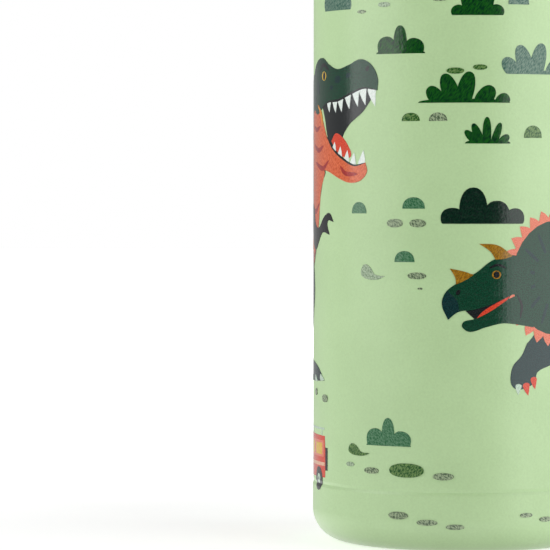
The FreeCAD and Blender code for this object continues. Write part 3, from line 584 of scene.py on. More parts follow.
# ---- drawings: animals ----
def theropod():
    """A tall meat eater that roars to the right."""
    far_leg = smooth([
        (-52, 60), (-47.5, 55), (-50, 49.5), (-56, 46.5), (-57.5, 43), (-54, 40.8), corner(-48.5, 38),
        corner(-62, 37.8), (-63.6, 42), (-62.4, 48), (-60, 54), (-58, 60),
    ])
    body = smooth([
        (-33, 109.5), (-38.5, 106), (-43, 99), (-46, 90.5), (-50, 82.5), (-56.5, 75.5), (-64.5, 69.5),
        corner(-76.5, 63.5), (-66, 60.4), (-57.5, 58), (-51, 57), (-44, 58.5), (-37, 62), (-31.5, 67.5),
        (-28.4, 74), (-27.2, 80), (-25.2, 84.6), (-23.6, 87), (-27, 93), (-28, 100),
    ])
    belly = smooth([
        (-26, 95), (-25, 89), corner(-23.9, 86.4), (-26.3, 82.6), (-27.4, 79), (-28.6, 73.5), (-31.8, 67.6),
        (-37.2, 62.2), (-44, 58.8), (-50.5, 57.4), corner(-58, 58.3), (-50, 61), (-43, 64.5), (-37.8, 70),
        (-35.6, 77), (-35.5, 85), (-36.5, 93), (-35.5, 99.5), (-31, 101),
    ])
    bands = strokes(
        (1.2, (-27.6, 79.5), (-31, 77.6), (-35, 78.2)), (1.3, (-28.6, 74), (-32, 71.9), (-36, 72.4)),
        (1.3, (-31.2, 68.6), (-34.6, 66.8), (-38.6, 67.8)), (1.2, (-36, 63.2), (-38.8, 62.4), (-42.4, 64.6)),
        (1.1, (-43.2, 59.1), (-45.6, 60.2), (-46.2, 62.8)),
    )
    back_marks = strokes(
        (1.6, (-42.8, 98.8), (-39.8, 96.4), (-37.8, 94.4)), (1.9, (-46.4, 90), (-43, 88.6), (-40.4, 86)),
        (2, (-50.6, 82), (-47, 80.4), (-44.6, 77.6)), (1.9, (-57, 75.4), (-53.2, 73.4), (-51.4, 70.2)),
        (1.6, (-65, 69.2), (-61.4, 67.2), (-59.8, 64.6)), ends=TAIL,
    )
    spikes = teeth(
        [(-37, 107), (-43, 99), (-46, 90.5), (-50, 82.5), (-56.5, 75.5), (-64.5, 69.5), (-72, 66)],
        15, (2.4, 2), (1.6, 1.1), (-2.25, -2.75),
    )
    leg = smooth([
        (-53.5, 68), (-47, 73), (-39.5, 71.5), (-34.5, 65.5), (-32.6, 58.5), (-35.6, 52.6), (-40.4, 49.4),
        (-42.2, 46), (-40, 42.9), (-34, 42.4), (-28.6, 41.2), corner(-24.2, 38.2), (-32, 37.8),
        corner(-45, 37.8), (-47.6, 41), (-48.2, 46.5), (-50, 51), (-54.5, 56.5), (-56, 62.5),
    ])
    arm = smooth([
        (-37, 79), (-33.5, 78.6), (-31, 74.6), (-28, 73.8), (-24.6, 76.2), (-21.4, 77.2), corner(-19.4, 75.2),
        (-22.4, 75.2), corner(-21.4, 72.2), (-25.4, 72.6), (-31, 68.6), (-35, 71), (-37.6, 75.4),
    ])
    mouth = smooth([
        corner(-25.4, 102), (-20, 103.6), (-13.8, 104.8), (-8, 106.4), corner(-4.8, 105.4), (-8.6, 100.6),
        (-13.6, 97.2), (-16, 93.6), corner(-14.6, 90), (-19.6, 91.4), (-22.4, 95), (-23.8, 99),
    ])
    jaw = smooth([
        corner(-27.4, 101.6), (-25, 98.4), (-22.8, 95), (-19.6, 92), (-15.6, 89.8), (-11.6, 88.2),
        corner(-8, 88.8), (-7.6, 86.6), (-9.6, 84.7), (-13, 84.2), (-17, 85.2), (-21, 86.6), (-25, 87.6),
        (-28.6, 90), (-31.2, 93.6), (-32.8, 98), (-31, 101.6),
    ])
    tongue = smooth([
        corner(-20.4, 93.8), (-18.4, 95.6), (-15.6, 94.6), (-13.4, 92.4), (-12.6, 90.4), (-14.6, 90),
        (-17.6, 91.2),
    ])
    head = smooth([
        corner(-31, 100.6), (-34, 105.6), (-32.6, 110), (-29, 112.6), (-25, 113.2), (-21.6, 111.6),
        (-17.6, 110.4), (-13.4, 111.2), (-9.4, 112.4), (-6.2, 111), (-4.5, 108), corner(-4.6, 105.2),
        (-8.4, 105.8), (-12.8, 104.6), (-17.4, 103.2), (-22, 102.9), corner(-26.2, 101.2), (-28.6, 100.2),
    ])
    lips = strokes(
        (0.5, (-26, 101.4), (-22, 102.9), (-17.4, 103.2), (-12.8, 104.6), (-8.4, 105.8), (-4.8, 105.3)),
        (0.5, (-22.6, 94.8), (-19.4, 91.9), (-15.6, 89.8), (-11.6, 88.2), (-8.2, 88.7)),
    )
    upper = teeth(
        [(-21.6, 102.9), (-17.4, 103.2), (-12.8, 104.6), (-8.4, 105.7), (-6.2, 105.6)],
        7, (1.7, 2.4), (2, 4.2), (0.05, 0.2),
    )
    lower = teeth(
        [(-19.2, 91.8), (-15.6, 89.8), (-11.6, 88.2), (-9.2, 88.5)], 5, (1.5, 1.9), (1.8, 3.2), (2.9, 2.9),
    )
    throat = strokes(
        (1.1, (-26.6, 97.4), (-29.8, 96.6), (-33, 97.6)), (1.2, (-24.6, 92.8), (-28, 91.8), (-32.4, 93.2)),
        (1.2, (-21.6, 89.4), (-25, 87.6), (-30.8, 89)), (1.1, (-16.6, 88.2), (-14.6, 86.4), (-10.4, 86.2)),
    )
    spots = [
        oval(-17.6, 108, 2.6, 1.7, 0.2), oval(-13.6, 108.8, 1.8, 1.2, 0.3), oval(-20.4, 106.2, 1.7, 1.1),
        oval(-28.6, 106.4, 2.4, 3.6, 0.3), oval(-31, 103.6, 1.6, 2.4, 0.2),
    ]
    face = [oval(-7.4, 110.2, 1, 1.3, -0.5), oval(-24.2, 109, 1.5, 1.9)]
    brow = strokes((0.9, (-27.4, 110), (-24.6, 111.6), (-21.4, 110.2)))
    claws = [
        tooth(-26.4, 38.9, 1.3, 2.3, 1.3), tooth(-31, 38.6, 1.3, 2.2, 1.2), tooth(-51, 38.7, 1.2, 2.2, 1.3),
        tooth(-36.4, 38.5, 1.2, 1.9, 1.1),
    ]
    return [
        ("hide_deep", spikes), ("black", [far_leg]), ("hide", [body]), ("orange", [belly]), ("red", bands),
        ("black", back_marks), ("hide_deep", [leg]), ("black", [arm]), ("black", [mouth]),
        ("scarlet", [tongue]), ("white", upper + lower), ("orange", [jaw]), ("red", throat),
        ("hide", [head]), ("hide_deep", spots), ("yellow", [oval(-24.3, 109, 2.5, 2.1)]),
        ("black", lips + face + brow),
        ("amber", strokes((0.9, (-28.6, 102.4), (-26.4, 100.4), (-25.2, 97.6)))), ("shade", claws),
    ]


def horned():
    """A heavy plant eater with a neck frill that faces left."""
    far_legs = [
        smooth([(40, 50), (47, 50), (46.4, 43), corner(47.2, 38), corner(40.2, 38), (40.4, 43)]),
        smooth([(54, 52), (61, 50), (60, 43), corner(61, 38), corner(54, 38), (54.4, 43)]),
    ]
    body = smooth([
        (44, 70.5), (52, 73), (60, 71.6), (67.5, 66.5), (74, 60), corner(81.5, 55), (75, 54.2), (70.5, 52),
        (66, 47.5), (58, 44.6), (48, 43.6), (38.5, 43), (33, 48), (36, 60),
    ])
    hind_leg = smooth([
        (58, 58), (67, 58.5), (71, 52), (69, 46), (69.8, 40.4), corner(71, 37), corner(62.4, 37), (62.2, 42),
        (60.4, 46.6), (56.6, 51),
    ])
    front_leg = smooth([
        corner(31, 47.8), (29.6, 45), (27.5, 42.6), (27, 39), (28.4, 37.4), (31, 37.8), (33, 39),
        (33.7, 41.2), (37.4, 42.8), (42.4, 45.4), (43.4, 51), (38, 54),
    ])
    u, z = 38.4, 62.6  # middle of the frill
    angles = [math.radians(40 + 13 * i) for i in range(22)]
    frill, rays = [oval(u, z, 23.8, 27.6)], []
    for t in angles:
        frill.append(tooth(u + 11.4 * math.cos(t), z + 13.3 * math.sin(t), 2.6, 2.4, t + math.pi / 2))
    for t in angles[::2]:
        ray = [(u + r * math.cos(t), z + 1.14 * r * math.sin(t)) for r in (5.6, 8, 10)]
        rays.append(stroke(ray, 0.8, (0.9, 0.1)))
    jaw = smooth([
        corner(31.5, 60), corner(26.4, 57.9), (22, 55), (18.6, 53.4), (16.2, 52.8), (15.8, 51.6),
        (17.6, 50.5), (21.4, 51.6), (25.6, 52.4), corner(32.6, 51.4),
    ])
    mouth = smooth([corner(16.6, 55.2), (21.6, 57.6), corner(27.4, 59.4), (24, 55), corner(19, 53)])
    tongue = smooth([
        corner(18.8, 53.3), (20.6, 55.2), (23.4, 56.9), corner(26.6, 58.5), (24.4, 55), (21, 53.6),
    ])
    head = smooth([
        corner(31.6, 67), (26.8, 67.8), (22.6, 66.6), (19, 63.9), (15.2, 61.8), (12.2, 59.6), (11.2, 56.8),
        corner(12.6, 53.2), (15, 55), (18.4, 55.5), (22.6, 56.8), corner(27.4, 58.9), corner(32, 59),
    ])
    beak = smooth([
        corner(12.4, 59.8), (11.2, 56.8), corner(12.6, 53.2), (14.2, 54.6), corner(15.2, 55.1), (14.6, 57.6),
    ])
    horns = [
        [corner(14.4, 61.2), (14.2, 62.8), corner(13, 64.8), (16, 64.2), corner(18.4, 63.4), (16.6, 62.2)],
        [corner(23.4, 66.8), (22.2, 68.6), corner(19.6, 70.4), (24, 70), corner(27.4, 67.6), (25.4, 67)],
    ]
    face = [oval(23.6, 63.4, 1.4, 1.5), oval(14.9, 59.4, 0.9, 1.3, -0.6)]
    creases = strokes(
        (0.6, (21.8, 64.8), (23.8, 65.6), (26, 64.8)), (0.6, (28.4, 59), (29.6, 56.4), (29.2, 53.4)),
    )
    back_marks = strokes(
        (2, (51, 72.6), (52.4, 68.4), (52, 64.6)), (2, (57, 72.2), (58.2, 68), (57.6, 64.4)),
        (1.9, (63, 69.4), (63.8, 65.6), (62.8, 62.2)), (1.6, (69, 64.9), (69.2, 61.6), (67.9, 58.8)),
        ends=TAIL,
    )
    claws = [
        tooth(30.8, 38.3, 1.5, 2.4, 0.15), tooth(32.7, 39.6, 1.4, 2.3, 0.1), tooth(65, 38, 1.6, 1.9, -0.4),
        tooth(68, 38, 1.6, 1.9, 0),
    ]
    return [
        ("black", far_legs), ("hide_deep", [body]), ("black", back_marks), ("hide_deep", [hind_leg]),
        ("hide_deep", [front_leg]), ("scarlet", claws), ("shade", [tooth(28.9, 38.1, 1.3, 2, -0.1)]),
        ("salmon", frill), ("hide", [oval(u, z, 22.2, 26)]), ("hide_deep", rays), ("black", [mouth]),
        ("scarlet", [tongue]), ("hide", [jaw, head]), ("ochre", [smooth(horn) for horn in horns]),
        ("hide_deep", [beak]), ("ochre", [oval(23.6, 63.4, 2.1, 1.9)]), ("black", face + creases),
    ]


def long_neck():
    """A long-necked plant eater that faces left, on the back of the bottle."""
    body = smooth([
        corner(86.6, 112.4), (88.6, 115.4), (92.4, 116.8), (95.8, 115), (97.2, 110), (97.8, 100),
        (99.6, 90), (104, 80.6), (112, 75), (121, 72.4), (128.6, 66.4), (133.6, 57.6), corner(138.6, 48.6),
        (132.2, 52.8), (127.8, 57.4), (127, 50), (127.4, 42), corner(128.4, 37.6), corner(120, 37.6),
        (120.6, 43.6), (118.6, 50.6), (112, 52), (107.4, 50), (106.6, 43), corner(107.6, 37.6),
        corner(99, 37.6), (99.8, 45), (98.4, 54), (95, 63), (93.6, 74), (94, 86), (93.8, 98), (93, 106),
        (91, 109.2), (88.6, 110.2),
    ])
    belly = smooth([
        corner(93, 106), (94.6, 98), (95, 86), (95.2, 75), (98, 65), (103, 57), (110, 54.4),
        corner(118.6, 52), (112, 51.8), (107.4, 50), (101, 50.6), (98.4, 54), (95, 63), (93.6, 74),
        (94, 86), (93.8, 98),
    ])
    far_legs = [
        smooth([(108, 56), (114, 56), (113.6, 44), corner(114.6, 38.6), corner(107, 38.6), (108, 44)]),
        smooth([(122, 56), (131, 58), (132, 46), corner(134, 38.6), corner(127, 38.6), (126, 46)]),
    ]
    spotted = (
        (103, 76, 3.4), (108.6, 71.4, 4.4), (115.6, 69.4, 3.8), (122, 66, 3.4), (112.6, 64, 3.2),
        (105, 66, 2.6), (119.4, 61, 2.6), (99.4, 84, 2.2), (97.6, 93, 1.8), (127, 61.4, 2.2),
        (96.4, 102, 1.5),
    )
    spots = [oval(u, z, width, width * 0.72, 0.5) for u, z, width in spotted]
    face = [oval(91.4, 113.8, 1.3, 1.5), oval(87.8, 112.9, 0.5, 0.6)]
    mouth = strokes((0.4, (86.8, 111.6), (89.2, 111.6), (91.4, 112.4)))
    nails = [resting(oval(u, 37.7, 1.7, 2.2), 37.7) for u in (100.2, 102.4, 104.6, 121.2, 123.4, 125.6)]
    return [
        ("black", far_legs), ("hide", [body]), ("salmon", [belly]), ("orange", spots),
        ("black", face + mouth), ("shade", nails + [oval(91.2, 114.2, 0.45, 0.45)]),
    ]


def flyer(u, z):
    """A gliding reptile seen from the side, drawn about its shoulder."""
    wing = smooth([
        corner(-2, 0), (-5, 4.6), corner(-13, 7.4), (-8.6, 2.8), corner(-6.6, -1.6), (-4.4, 0),
        corner(-3, -2.6), (1, -1),
    ])
    far_wing = smooth([corner(0, 0), (3, 5.2), corner(9.6, 9), (7.2, 3.4), corner(7, -0.4), (4, 1)])
    body = smooth([
        corner(-5, -2.4), (-1, 0.6), (3, 1), (5.6, 2.4), corner(4.2, 5), (7.4, 3), (9, 1.6),
        corner(14, -0.6), (8.4, -0.4), (4, -1.6), (0, -2.4),
    ])
    lines = [oval(7.4, 1.5, 0.8, 0.8)] + strokes((0.5, (-2, 0), (-6, 4), (-12.6, 7.2)))
    layers = [("hide_deep", [far_wing]), ("hide", [body]), ("orange", [wing]), ("black", lines)]
    return moved(layers, u, z)


# ---- drawings: vehicles ----
AXLE_Z = 15.2


def wheels(*places):
    parts = (("black", 5.2, 5.6), ("shade", 2.1, 2.3), ("violet", 0.8, 0.8))
    return [(tone, [oval(u, AXLE_Z, width, height) for u in places]) for tone, width, height in parts]


def bus():
    """A red safari bus with its tail at the left."""
    body = smooth([
        corner(-62.4, 16), (-62.6, 20), corner(-61.6, 25.2), (-43, 25.5), corner(-24, 25.3), (-23.6, 20),
        corner(-23.8, 15.6), (-43, 15.4),
    ])
    panes = [rectangle(-60.4 + 5.9 * i, -56 + 5.9 * i, 20.9, 23.7) for i in range(5)]
    windscreen = rectangle(-30.6, -25.6, 20.9, 23.6)
    rack = [rectangle(-61, -24.2, 26.7, 27.2)]
    rack += [rectangle(-58 + 8 * i, -57.6 + 8 * i, 25.4, 26.8) for i in range(5)]
    ends = [rectangle(-23.6, -22.4, 17.3, 22.6), rectangle(-63.4, -62.2, 17, 18.4)]
    return [
        ("shade", rack), ("scarlet", [body]), ("salmon", [rectangle(-61.2, -24.6, 20.4, 24.2)]),
        ("yellow", panes + [windscreen]), ("cream", [rectangle(-62.4, -24, 18.3, 19.1)]), ("black", ends),
    ] + wheels(-28, -55)


def truck(u, tone):
    """An open tipper that drives to the left."""
    cab = smooth([
        corner(-12, 16), (-12.4, 19), corner(-11.4, 21.4), (-9.6, 25.6), corner(-5, 26), corner(-4.4, 16),
    ])
    tray = smooth([
        corner(-3.6, 17.6), corner(-4.2, 24.6), (5, 24.2), corner(14.4, 24.8), (12.8, 20), corner(11.4, 17.6),
    ])
    load = smooth([corner(-3, 24.2), (0, 27.2), (3.4, 26), (7.2, 28), (10.6, 25.8), corner(12.8, 24.2)])
    window = smooth([corner(-10.8, 21.4), (-9.6, 24.4), corner(-6.2, 24.8), corner(-6, 21.4)])
    trim = [rectangle(-3.2, 12.4, 20.6, 21.3), oval(-11.9, 18.4, 1, 1.3)]
    layers = [
        ("moss", [load]), ("black", [rectangle(-11.4, 12.4, 15.4, 17)]), (tone, [cab, tray]),
        ("yellow", [window]), ("cream", trim),
    ]
    return moved(layers + wheels(-8, 3, 9), u)


FLYERS = ((56, 132), (114, 148), (-60, 140), (-8, 143.5))


def printed_picture():
    """Every motif of the print as its own piece."""
    ink_layers("print_plants", plants())
    ink_layers("print_stones", stones())
    ink_layers("print_theropod", theropod())
    ink_layers("print_horned_dinosaur", horned())
    ink_layers("print_long_neck", long_neck())
    ink_layers("print_bus", bus())
    ink_layers("print_truck_front", truck(58, "amber"))
    ink_layers("print_truck_back", truck(118, "scarlet"))
    for i, place in enumerate(FLYERS):
        ink_layers(f"print_flyer_{i + 1}", flyer(*place))


# ---- finishes of the CAD parts ----
STEEL_DARK = (142, 142, 140)
STEEL_LIGHT = (196, 196, 193)
COAT_FADE = 0.1  # half the width of the coat's edge at the shoulder


def brushed(look, radius):
    """Fine scratches that run round the part."""
    return look.grain(0.12 * MM, 3, (160, 1, 1), 0, look.around(radius * MM))


def steel(name, radius, roughness=(0.2, 0.42)):
    """Stainless steel with turning marks round Z."""
    look = Look(name, 0.3, Metallic=1.0)
    scratch = brushed(look, radius)
    stain = look.grain(9 * MM, 3)
    marked = look.tones(scratch, STEEL_DARK, STEEL_LIGHT)
    look.feed("Base Color", look.mix(stain, marked, srgb(*STEEL_LIGHT)))
    look.rough(scratch, *roughness)
    look.bump((scratch, 4 * MICRON), (stain, 6 * MICRON))
    return look.material


def coat_with_bare_neck():
    """Powder coat up to the shoulder, turned steel on the neck and its thread."""
    look = Look("powder_coat_and_bare_neck", 0.4)
    height = look.node("SeparateXYZ", {0: look.space}).outputs["Z"]
    neck = look.spread(height, (SHOULDER_Z - COAT_FADE) * MM, (SHOULDER_Z + COAT_FADE) * MM, 0, 1)
    bare = look.tones(brushed(look, BODY_R), STEEL_DARK, STEEL_LIGHT)
    look.feed("Base Color", look.mix(neck, coated(look), bare))
    look.feed("Metallic", neck)
    return look.material


def moulded(name, dark, light, roughness=(0.32, 0.46), texture=0.16, relief=8, **fixed):
    """Injection-moulded plastic: spark-eroded texture, soft flow marks and handling gloss."""
    look = Look(name, roughness[0], **fixed)
    flow = look.grain(11 * MM, 3, (1, 1, 2.4))
    sink = look.grain(2.6 * MM)
    spark = look.grain(texture * MM)
    wear = look.grain(5 * MM, 4)
    look.feed("Base Color", look.tones(flow, dark, light))
    look.rough(look.average(spark, wear), *roughness)
    look.bump((spark, relief * MICRON), (sink, 12 * MICRON))
    return look.material


def silicone(name, dark, light):
    """Cloudy soft silicone with a dusty, slightly uneven skin."""
    look = Look(
        name, 0.4, Transmission_Weight=0.18, IOR=1.41, Subsurface_Weight=0.35, Subsurface_Scale=0.003,
    )
    cloud = look.grain(6 * MM, 3)
    wave = look.grain(3 * MM)
    dust = look.grain(0.3 * MM)
    look.feed("Base Color", look.tones(cloud, dark, light))
    look.rough(dust, 0.34, 0.5)
    look.bump((dust, 6 * MICRON), (wave, 14 * MICRON))
    return look.material


def wire():
    """Drawn spring wire with lengthwise die marks."""
    look = Look("spring_wire", 0.25, Metallic=1.0)
    marks = look.grain(0.1 * MM, 3, (12, 1, 1))
    look.feed("Base Color", look.tones(marks, (128, 128, 128), (198, 198, 196)))
    look.rough(marks, 0.16, 0.34)
    look.bump((marks, 3 * MICRON))
    return look.material


def dress_cad(rubber, deep, spring_steel):
    """Every carried-over CAD solid gets its finish."""
    lid = moulded("lid_green_plastic", (150, 180, 134), (160, 190, 144))
    core = moulded("core_white_plastic", (226, 228, 222), (238, 240, 235), (0.26, 0.4), 0.2)
    clear = moulded(
        "straw_plastic", (222, 228, 224), (234, 238, 235), (0.16, 0.3), 0.5, 3,
        Transmission_Weight=0.55, IOR=1.49,
    )
    finishes = {
        coat_with_bare_neck(): ["outer_shell"],
        powder_coat(): ["base_cup"],
        steel("base_disc_steel", 16): ["base_disc"],
        steel("seal_steel", 1.5, (0.3, 0.5)): ["vacuum_seal", "getter"],
        steel("liner_steel", 31, (0.24, 0.4)): ["inner_liner", "liner_bottom"],
        lid: ["lid_shell", "flip_cover"],
        core: ["lid_core", "cover_liner"],
        deep: ["push_button", "carry_loop"],
        rubber: ["neck_gasket", "spout_base", "spout_tip", "vent_valve", "deck_ring", "spout_stopper"],
        spring_steel: ["hinge_pin", "torsion_spring", "button_spring", "lock_bail", "loop_pin"],
        clear: ["straw"],
    }
    for finish, names in finishes.items():
        for name in names:
            NODES[name].data.materials.clear()
            NODES[name].data.materials.append(finish)


# ---- soft and sprung pieces, in millimetres ----
SPOUT_BEAD = 0.7  # bead round the drinking end, beyond the tube
SPOUT_BORE = 2.6
SPOUT_LONG = 27.0  # bend centre to drinking end
SPOUT_FOLD = math.radians(75)  # forward from upright when the cover is shut
SPOUT_SIDES = 64
FLEX_RINGS = (6.0, 7.8, 9.6)  # grooves that let the tube give
FLEX_DEEP = 0.35
FLEX_WIDE = 1.1
LIP_LONG = 2.6
LIP_NARROWS = 0.5  # how much the bead narrows towards its end
MOUTH_SOFT = 0.9  # rounding of the bore's mouth
BORE_RINGS = (20, 12, 4)  # rings along the straight bore

WIRE_R = 0.35  # hinge spring
COIL_PLAY = 0.35  # between its coil and the pin
COIL_HALF = 3.2
COIL_TURNS = 6.5
COIL_STEPS = 28  # points to a turn
LEG_STEPS = 6  # points along a straight leg
LEG_INSET = 0.1  # leg's end inside the CAD spring's end

PRESS_WIRE_R = 0.25  # button spring
PRESS_TURNS = 6
PRESS_BELOW = 1.0  # its axis below the button's middle
CLOSED_ENDS = 0.85  # 1 would lay the end turns flat
WIRE_SIDES = 12

RIB_R = 0.42  # grip ribs on the button
RIB_TIP = 0.02  # radius at a rib's tip
RIB_HALF = 3.8
RIB_PITCH = 1.9


def sleeve(name, rings, closed_ends=True):
    """A mesh skin over rings of points; its ends are closed, or the last ring meets the first."""
    mesh = bpy.data.meshes.new(name)
    count = len(rings[0])
    faces = []
    for i in range(len(rings) - 1 + (not closed_ends)):
        a, b = i * count, (i + 1) % len(rings) * count
        faces += [(a + k, a + (k + 1) % count, b + (k + 1) % count, b + k) for k in range(count)]
    if closed_ends:
        faces += [tuple(range(count))[::-1], tuple(range((len(rings) - 1) * count, len(rings) * count))]
    mesh.from_pydata([tuple(Vector(p) * MM) for ring in rings for p in ring], [], faces)
    mesh.polygons.foreach_set("use_smooth", [len(f) == 4 for f in faces])
    made = bmesh.new()
    made.from_mesh(mesh)
    bmesh.ops.recalc_face_normals(made, faces=made.faces)
    made.to_mesh(mesh)
    made.free()
    return placed(name, mesh)


def rod(name, path, radius, sides=16):
    """A round rod along a path of points; the radius is a number or one for each point."""
    path = [Vector(p) for p in path]
    radii = radius if isinstance(radius, list) else [radius] * len(path)
    side = None
    rings = []
    for i, p in enumerate(path):
        ahead = (path[min(i + 1, len(path) - 1)] - path[max(i - 1, 0)]).normalized()
        side = ahead.orthogonal() if side is None else side - ahead * side.dot(ahead)
        side.normalize()
        other = ahead.cross(side)
        rings.append([p + (side * math.cos(t) + other * math.sin(t)) * radii[i] for t in turns(sides)])
    return sleeve(name, rings)


def finish_piece(piece, material, slot, *nodes):
    """Give a piece its material and hide the CAD nodes it stands for. The slot is not used."""
    piece.data.materials.append(material)
    if nodes:
        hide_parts(*nodes)


def arc(u, z, radius, start, end, steps):
    """Points along an arc about (u, z), both ends among them."""
    angles = [start + (end - start) * k / steps for k in range(steps + 1)]
    return [(u + radius * math.cos(t), z + radius * math.sin(t)) for t in angles]


def spout(rubber):
    """The drinking tube: a ball that seals in its seat, flexing grooves, a beaded lip and a bore."""
    low, high = box_mm("spout_tip")
    radius = (high.x - low.x) / 2 - SPOUT_BEAD
    bend = Vector((0, high.y - radius, low.z + radius))
    line = arc(0, 0, radius, -math.acos(SPOUT_BORE / radius), 0, 12)
    for s in FLEX_RINGS:
        for k in range(9):
            deep = FLEX_DEEP * math.sin(math.pi * k / 8)
            line.append((radius - deep, s + FLEX_WIDE * (k / 8 - 0.5)))
    for k in range(17):
        t = math.pi * (k / 16 - 0.5)
        bulge = SPOUT_BEAD * math.cos(t) - LIP_NARROWS * (k / 16) ** 6
        line.append((radius + bulge, SPOUT_LONG + LIP_LONG / 2 * (math.sin(t) - 1)))
    mouth = arc(SPOUT_BORE + MOUTH_SOFT, SPOUT_LONG - MOUTH_SOFT, MOUTH_SOFT, math.pi / 2, math.pi, 8)
    line += mouth[1:] + [(SPOUT_BORE, s) for s in BORE_RINGS]
    fold = Matrix.Rotation(SPOUT_FOLD, 3, "X")
    rings = []
    for r, s in line:
        ring = [Vector((r * math.cos(t), r * math.sin(t), s)) for t in turns(SPOUT_SIDES)]
        rings.append([bend + fold @ p for p in ring])
    piece = sleeve("spout_tube", rings, closed_ends=False)
    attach(piece, "spout")
    finish_piece(piece, rubber, "silicone", "spout_tip")


def hinge_spring(spring_steel):
    """Wound wire on the hinge pin; the real spring twists as the cover swings, this one is a fixed coil."""
    low, high = box_mm("hinge_pin")
    axis = (low + high) / 2
    reach = (high.z - low.z) / 2 + COIL_PLAY + WIRE_R
    root = box_mm("torsion_spring")[0].y + LEG_INSET
    leg = [root + (axis.y - root) * k / LEG_STEPS for k in range(LEG_STEPS)]
    path = [(-COIL_HALF, y, axis.z - reach) for y in leg]
    steps = round(COIL_TURNS * COIL_STEPS)
    for k in range(steps + 1):
        share = k / steps
        t = 2 * math.pi * COIL_TURNS * share - math.pi / 2
        path.append((COIL_HALF * (2 * share - 1), axis.y + reach * math.cos(t), axis.z + reach * math.sin(t)))
    path += [(COIL_HALF, y, axis.z + reach) for y in reversed(leg)]
    piece = rod("hinge_spring", path, WIRE_R, WIRE_SIDES)
    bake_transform(piece)
    finish_piece(piece, spring_steel, "wire_steel", "torsion_spring")


def press_spring(spring_steel):
    """Coil that pushes the button out; its end turns lie close."""
    low, high = box_mm("button_spring")
    middle = (low + high) / 2
    coil_r = (high.x - low.x) / 2 - PRESS_WIRE_R
    start, long = low.y + PRESS_WIRE_R, high.y - low.y - 2 * PRESS_WIRE_R
    steps = PRESS_TURNS * COIL_STEPS
    path = []
    for k in range(steps + 1):
        share = k / steps
        t = 2 * math.pi * PRESS_TURNS * share
        y = start + long * (share - CLOSED_ENDS * math.sin(2 * math.pi * share) / (2 * math.pi))
        path.append((middle.x + coil_r * math.cos(t), y, middle.z + coil_r * math.sin(t)))
    piece = rod("press_spring", path, PRESS_WIRE_R, WIRE_SIDES)
    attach(piece, "lid")
    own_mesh(piece)
    finish_piece(piece, spring_steel, "wire_steel", "button_spring")


def button_ribs(deep):
    """Three grip ribs across the button's face, half sunk and round at their ends."""
    face = box_mm("push_button")[0].y
    low, high = box_mm("button_spring")
    middle = (low.z + high.z) / 2 + PRESS_BELOW
    cap = [(x, max(r, RIB_TIP)) for r, x in arc(0, 0, RIB_R, -math.pi / 2, math.pi / 2, 10)]
    outline = [(x - RIB_HALF, r) for x, r in cap[:6]] + [(x + RIB_HALF, r) for x, r in cap[5:]]
    for i in range(3):
        z = middle + (i - 1) * RIB_PITCH
        piece = rod(f"button_rib_{i + 1}", [(x, face, z) for x, _ in outline], [r for _, r in outline])
        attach(piece, "button")
        finish_piece(piece, deep, "accent_plastic")


EDGE_SOFT = {  # rounding in millimetres, and the nodes whose edges get it
    0.4: ("carry_loop", "spout_stopper"),
    0.35: ("lid_shell", "flip_cover"),
    0.3: ("lid_core", "cover_liner", "push_button", "deck_ring", "neck_gasket"),
    0.25: ("vent_valve",),
    0.2: ("hinge_pin", "loop_pin", "lock_bail"),
    0.15: ("straw", "base_disc"),
}
SOFT_ANGLE = math.radians(35)  # edges that turn by less stay as they are


def soften_cad():
    """Round the hard edges of the CAD solids a little; flat and curved faces stay where they are."""
    for width, names in EDGE_SOFT.items():
        for name in names:
            weld = NODES[name].modifiers.new("weld", "WELD")
            weld.merge_threshold = MICRON
            bevel = NODES[name].modifiers.new("soft_edges", "BEVEL")
            bevel.limit_method = "ANGLE"
            bevel.angle_limit = SOFT_ANGLE
            bevel.width = width * MM
            bevel.segments = 3
            bevel.harden_normals = True


# ---- camera, light and floor, in metres ----
VIEW = math.radians(25.5)  # the camera stands this far round from the front
DISTANCE = 0.75
EYE = 0.0814  # camera's height
LENS, SENSOR = 207.2, 36  # in millimetres
AIM_DOWN = math.radians(1.448)
AIM_LEFT = math.radians(3.363)  # the bottle stands at the picture's right

WALL_EDGE = (-0.1, 0.25)  # from the wall behind to the room in front, towards the camera
TABLE_EDGE = (-0.25, -0.05)  # from the table to the room, upwards
TABLE_FADE = (-1.0, -0.1)  # from straight below to the table's far parts, upwards

FLOOR_R = 4.0
FLOOR_GAP = 0.02 * MM  # floor below the foot ring
GLOW_NEAR, GLOW_FAR = 0.5, 1.1  # floor's own light: its soft shadow fades into the white wall
GLOW_START, GLOW_END = 0.1, 0.8  # distances from the bottle's axis


def camera():
    data = bpy.data.cameras.new("camera")
    data.lens, data.sensor_width = LENS, SENSOR
    made = placed("camera", data)
    made.location = (DISTANCE * math.sin(VIEW), -DISTANCE * math.cos(VIEW), EYE)
    made.rotation_euler = (math.pi / 2 - AIM_DOWN, 0, VIEW + AIM_LEFT)
    bpy.context.scene.camera = made


def softbox(name, turn, width, low, high, radiance):
    """A tall diffuser a metre from the bottle, turned round from the camera's side."""
    data = bpy.data.lights.new(name, "AREA")
    data.shape, data.size, data.size_y = "RECTANGLE", width, high - low
    data.energy = radiance * math.pi * width * (high - low)
    made = placed(name, data)
    angle = VIEW + math.radians(turn)
    made.location = (math.sin(angle), -math.cos(angle), (low + high) / 2)
    made.rotation_euler = (math.radians(90), 0, angle)
    made.visible_camera = False


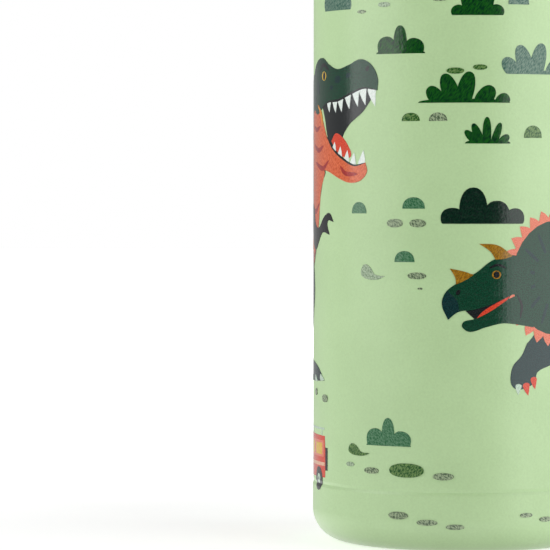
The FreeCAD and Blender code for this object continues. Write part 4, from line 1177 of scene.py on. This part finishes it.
def surroundings(behind, front, bounce, underneath):
    """A bright wall behind, a dim room in front, and the table's bounce, weakest from straight below.

    Seen directly by the camera, it is white all over.
    """
    world = bpy.data.worlds.new("studio")
    world.use_nodes = True
    bpy.context.scene.world = world
    tree = world.node_tree

    def node(kind, *sources, **settings):
        return add_node(tree, kind, enumerate(sources), **settings).outputs

    way = node("TexCoord")["Generated"]
    forward = (math.sin(VIEW), -math.cos(VIEW), 0)
    facing = node("VectorMath", way, forward, operation="DOT_PRODUCT")["Value"]
    height = node("SeparateXYZ", way)["Z"]
    room = node("MapRange", facing, *WALL_EDGE, behind, front)[0]
    table = node("MapRange", height, *TABLE_FADE, underneath, bounce)[0]
    low = node("MapRange", height, *TABLE_EDGE, 1.0, 0.0)[0]
    level = node("Mix", low, (0, 0, 0), room, table)[0]
    direct = node("LightPath")["Is Camera Ray"]
    seen = node("Math", level, direct, operation="MAXIMUM")[0]
    background = tree.nodes["Background"]
    background.inputs["Color"].default_value = (1, 1, 1, 1)
    tree.links.new(seen, background.inputs["Strength"])


def floor():
    """A pale round sheet under the bottle, seen by the camera but casting no light on the bottle."""
    sheet = bmesh.new()
    bmesh.ops.create_circle(sheet, cap_ends=True, segments=96, radius=FLOOR_R)
    mesh = bpy.data.meshes.new("floor")
    sheet.to_mesh(mesh)
    sheet.free()
    look = Look("floor_white", 0.6, Emission_Color=(1, 1, 1, 1))
    away = look.node("VectorMath", {0: look.space}, operation="LENGTH").outputs["Value"]
    look.feed("Emission Strength", look.spread(away, GLOW_START, GLOW_END, GLOW_NEAR, GLOW_FAR))
    look.feed("Base Color", look.tones(look.grain(40 * MM, 3), (239, 239, 239), (243, 243, 243)))
    mesh.materials.append(look.material)
    made = placed("floor", mesh)
    made.location.z = cad_box[0][2] - FLOOR_GAP
    made.visible_diffuse = made.visible_glossy = made.visible_transmission = False


bpy.context.scene.view_settings.view_transform = "Standard"
camera()
surroundings(behind=0.43, front=0.02, bounce=1.75, underneath=0.2)
softbox("softbox_left", turn=-70, width=0.89, low=0.05, high=1.15, radiance=2.55)
softbox("softbox_right", turn=64, width=1.2, low=-0.15, high=1.1, radiance=2.4)
floor()
rubber = silicone("cloudy_silicone", (208, 214, 206), (226, 230, 224))
deep = moulded("accent_green_plastic", (24, 72, 52), (32, 86, 62), (0.2, 0.34), 0.24, 5)
spring_steel = wire()
dress_cad(rubber, deep, spring_steel)
soften_cad()
spout(rubber)
hinge_spring(spring_steel)
press_spring(spring_steel)
button_ribs(deep)
printed_picture()
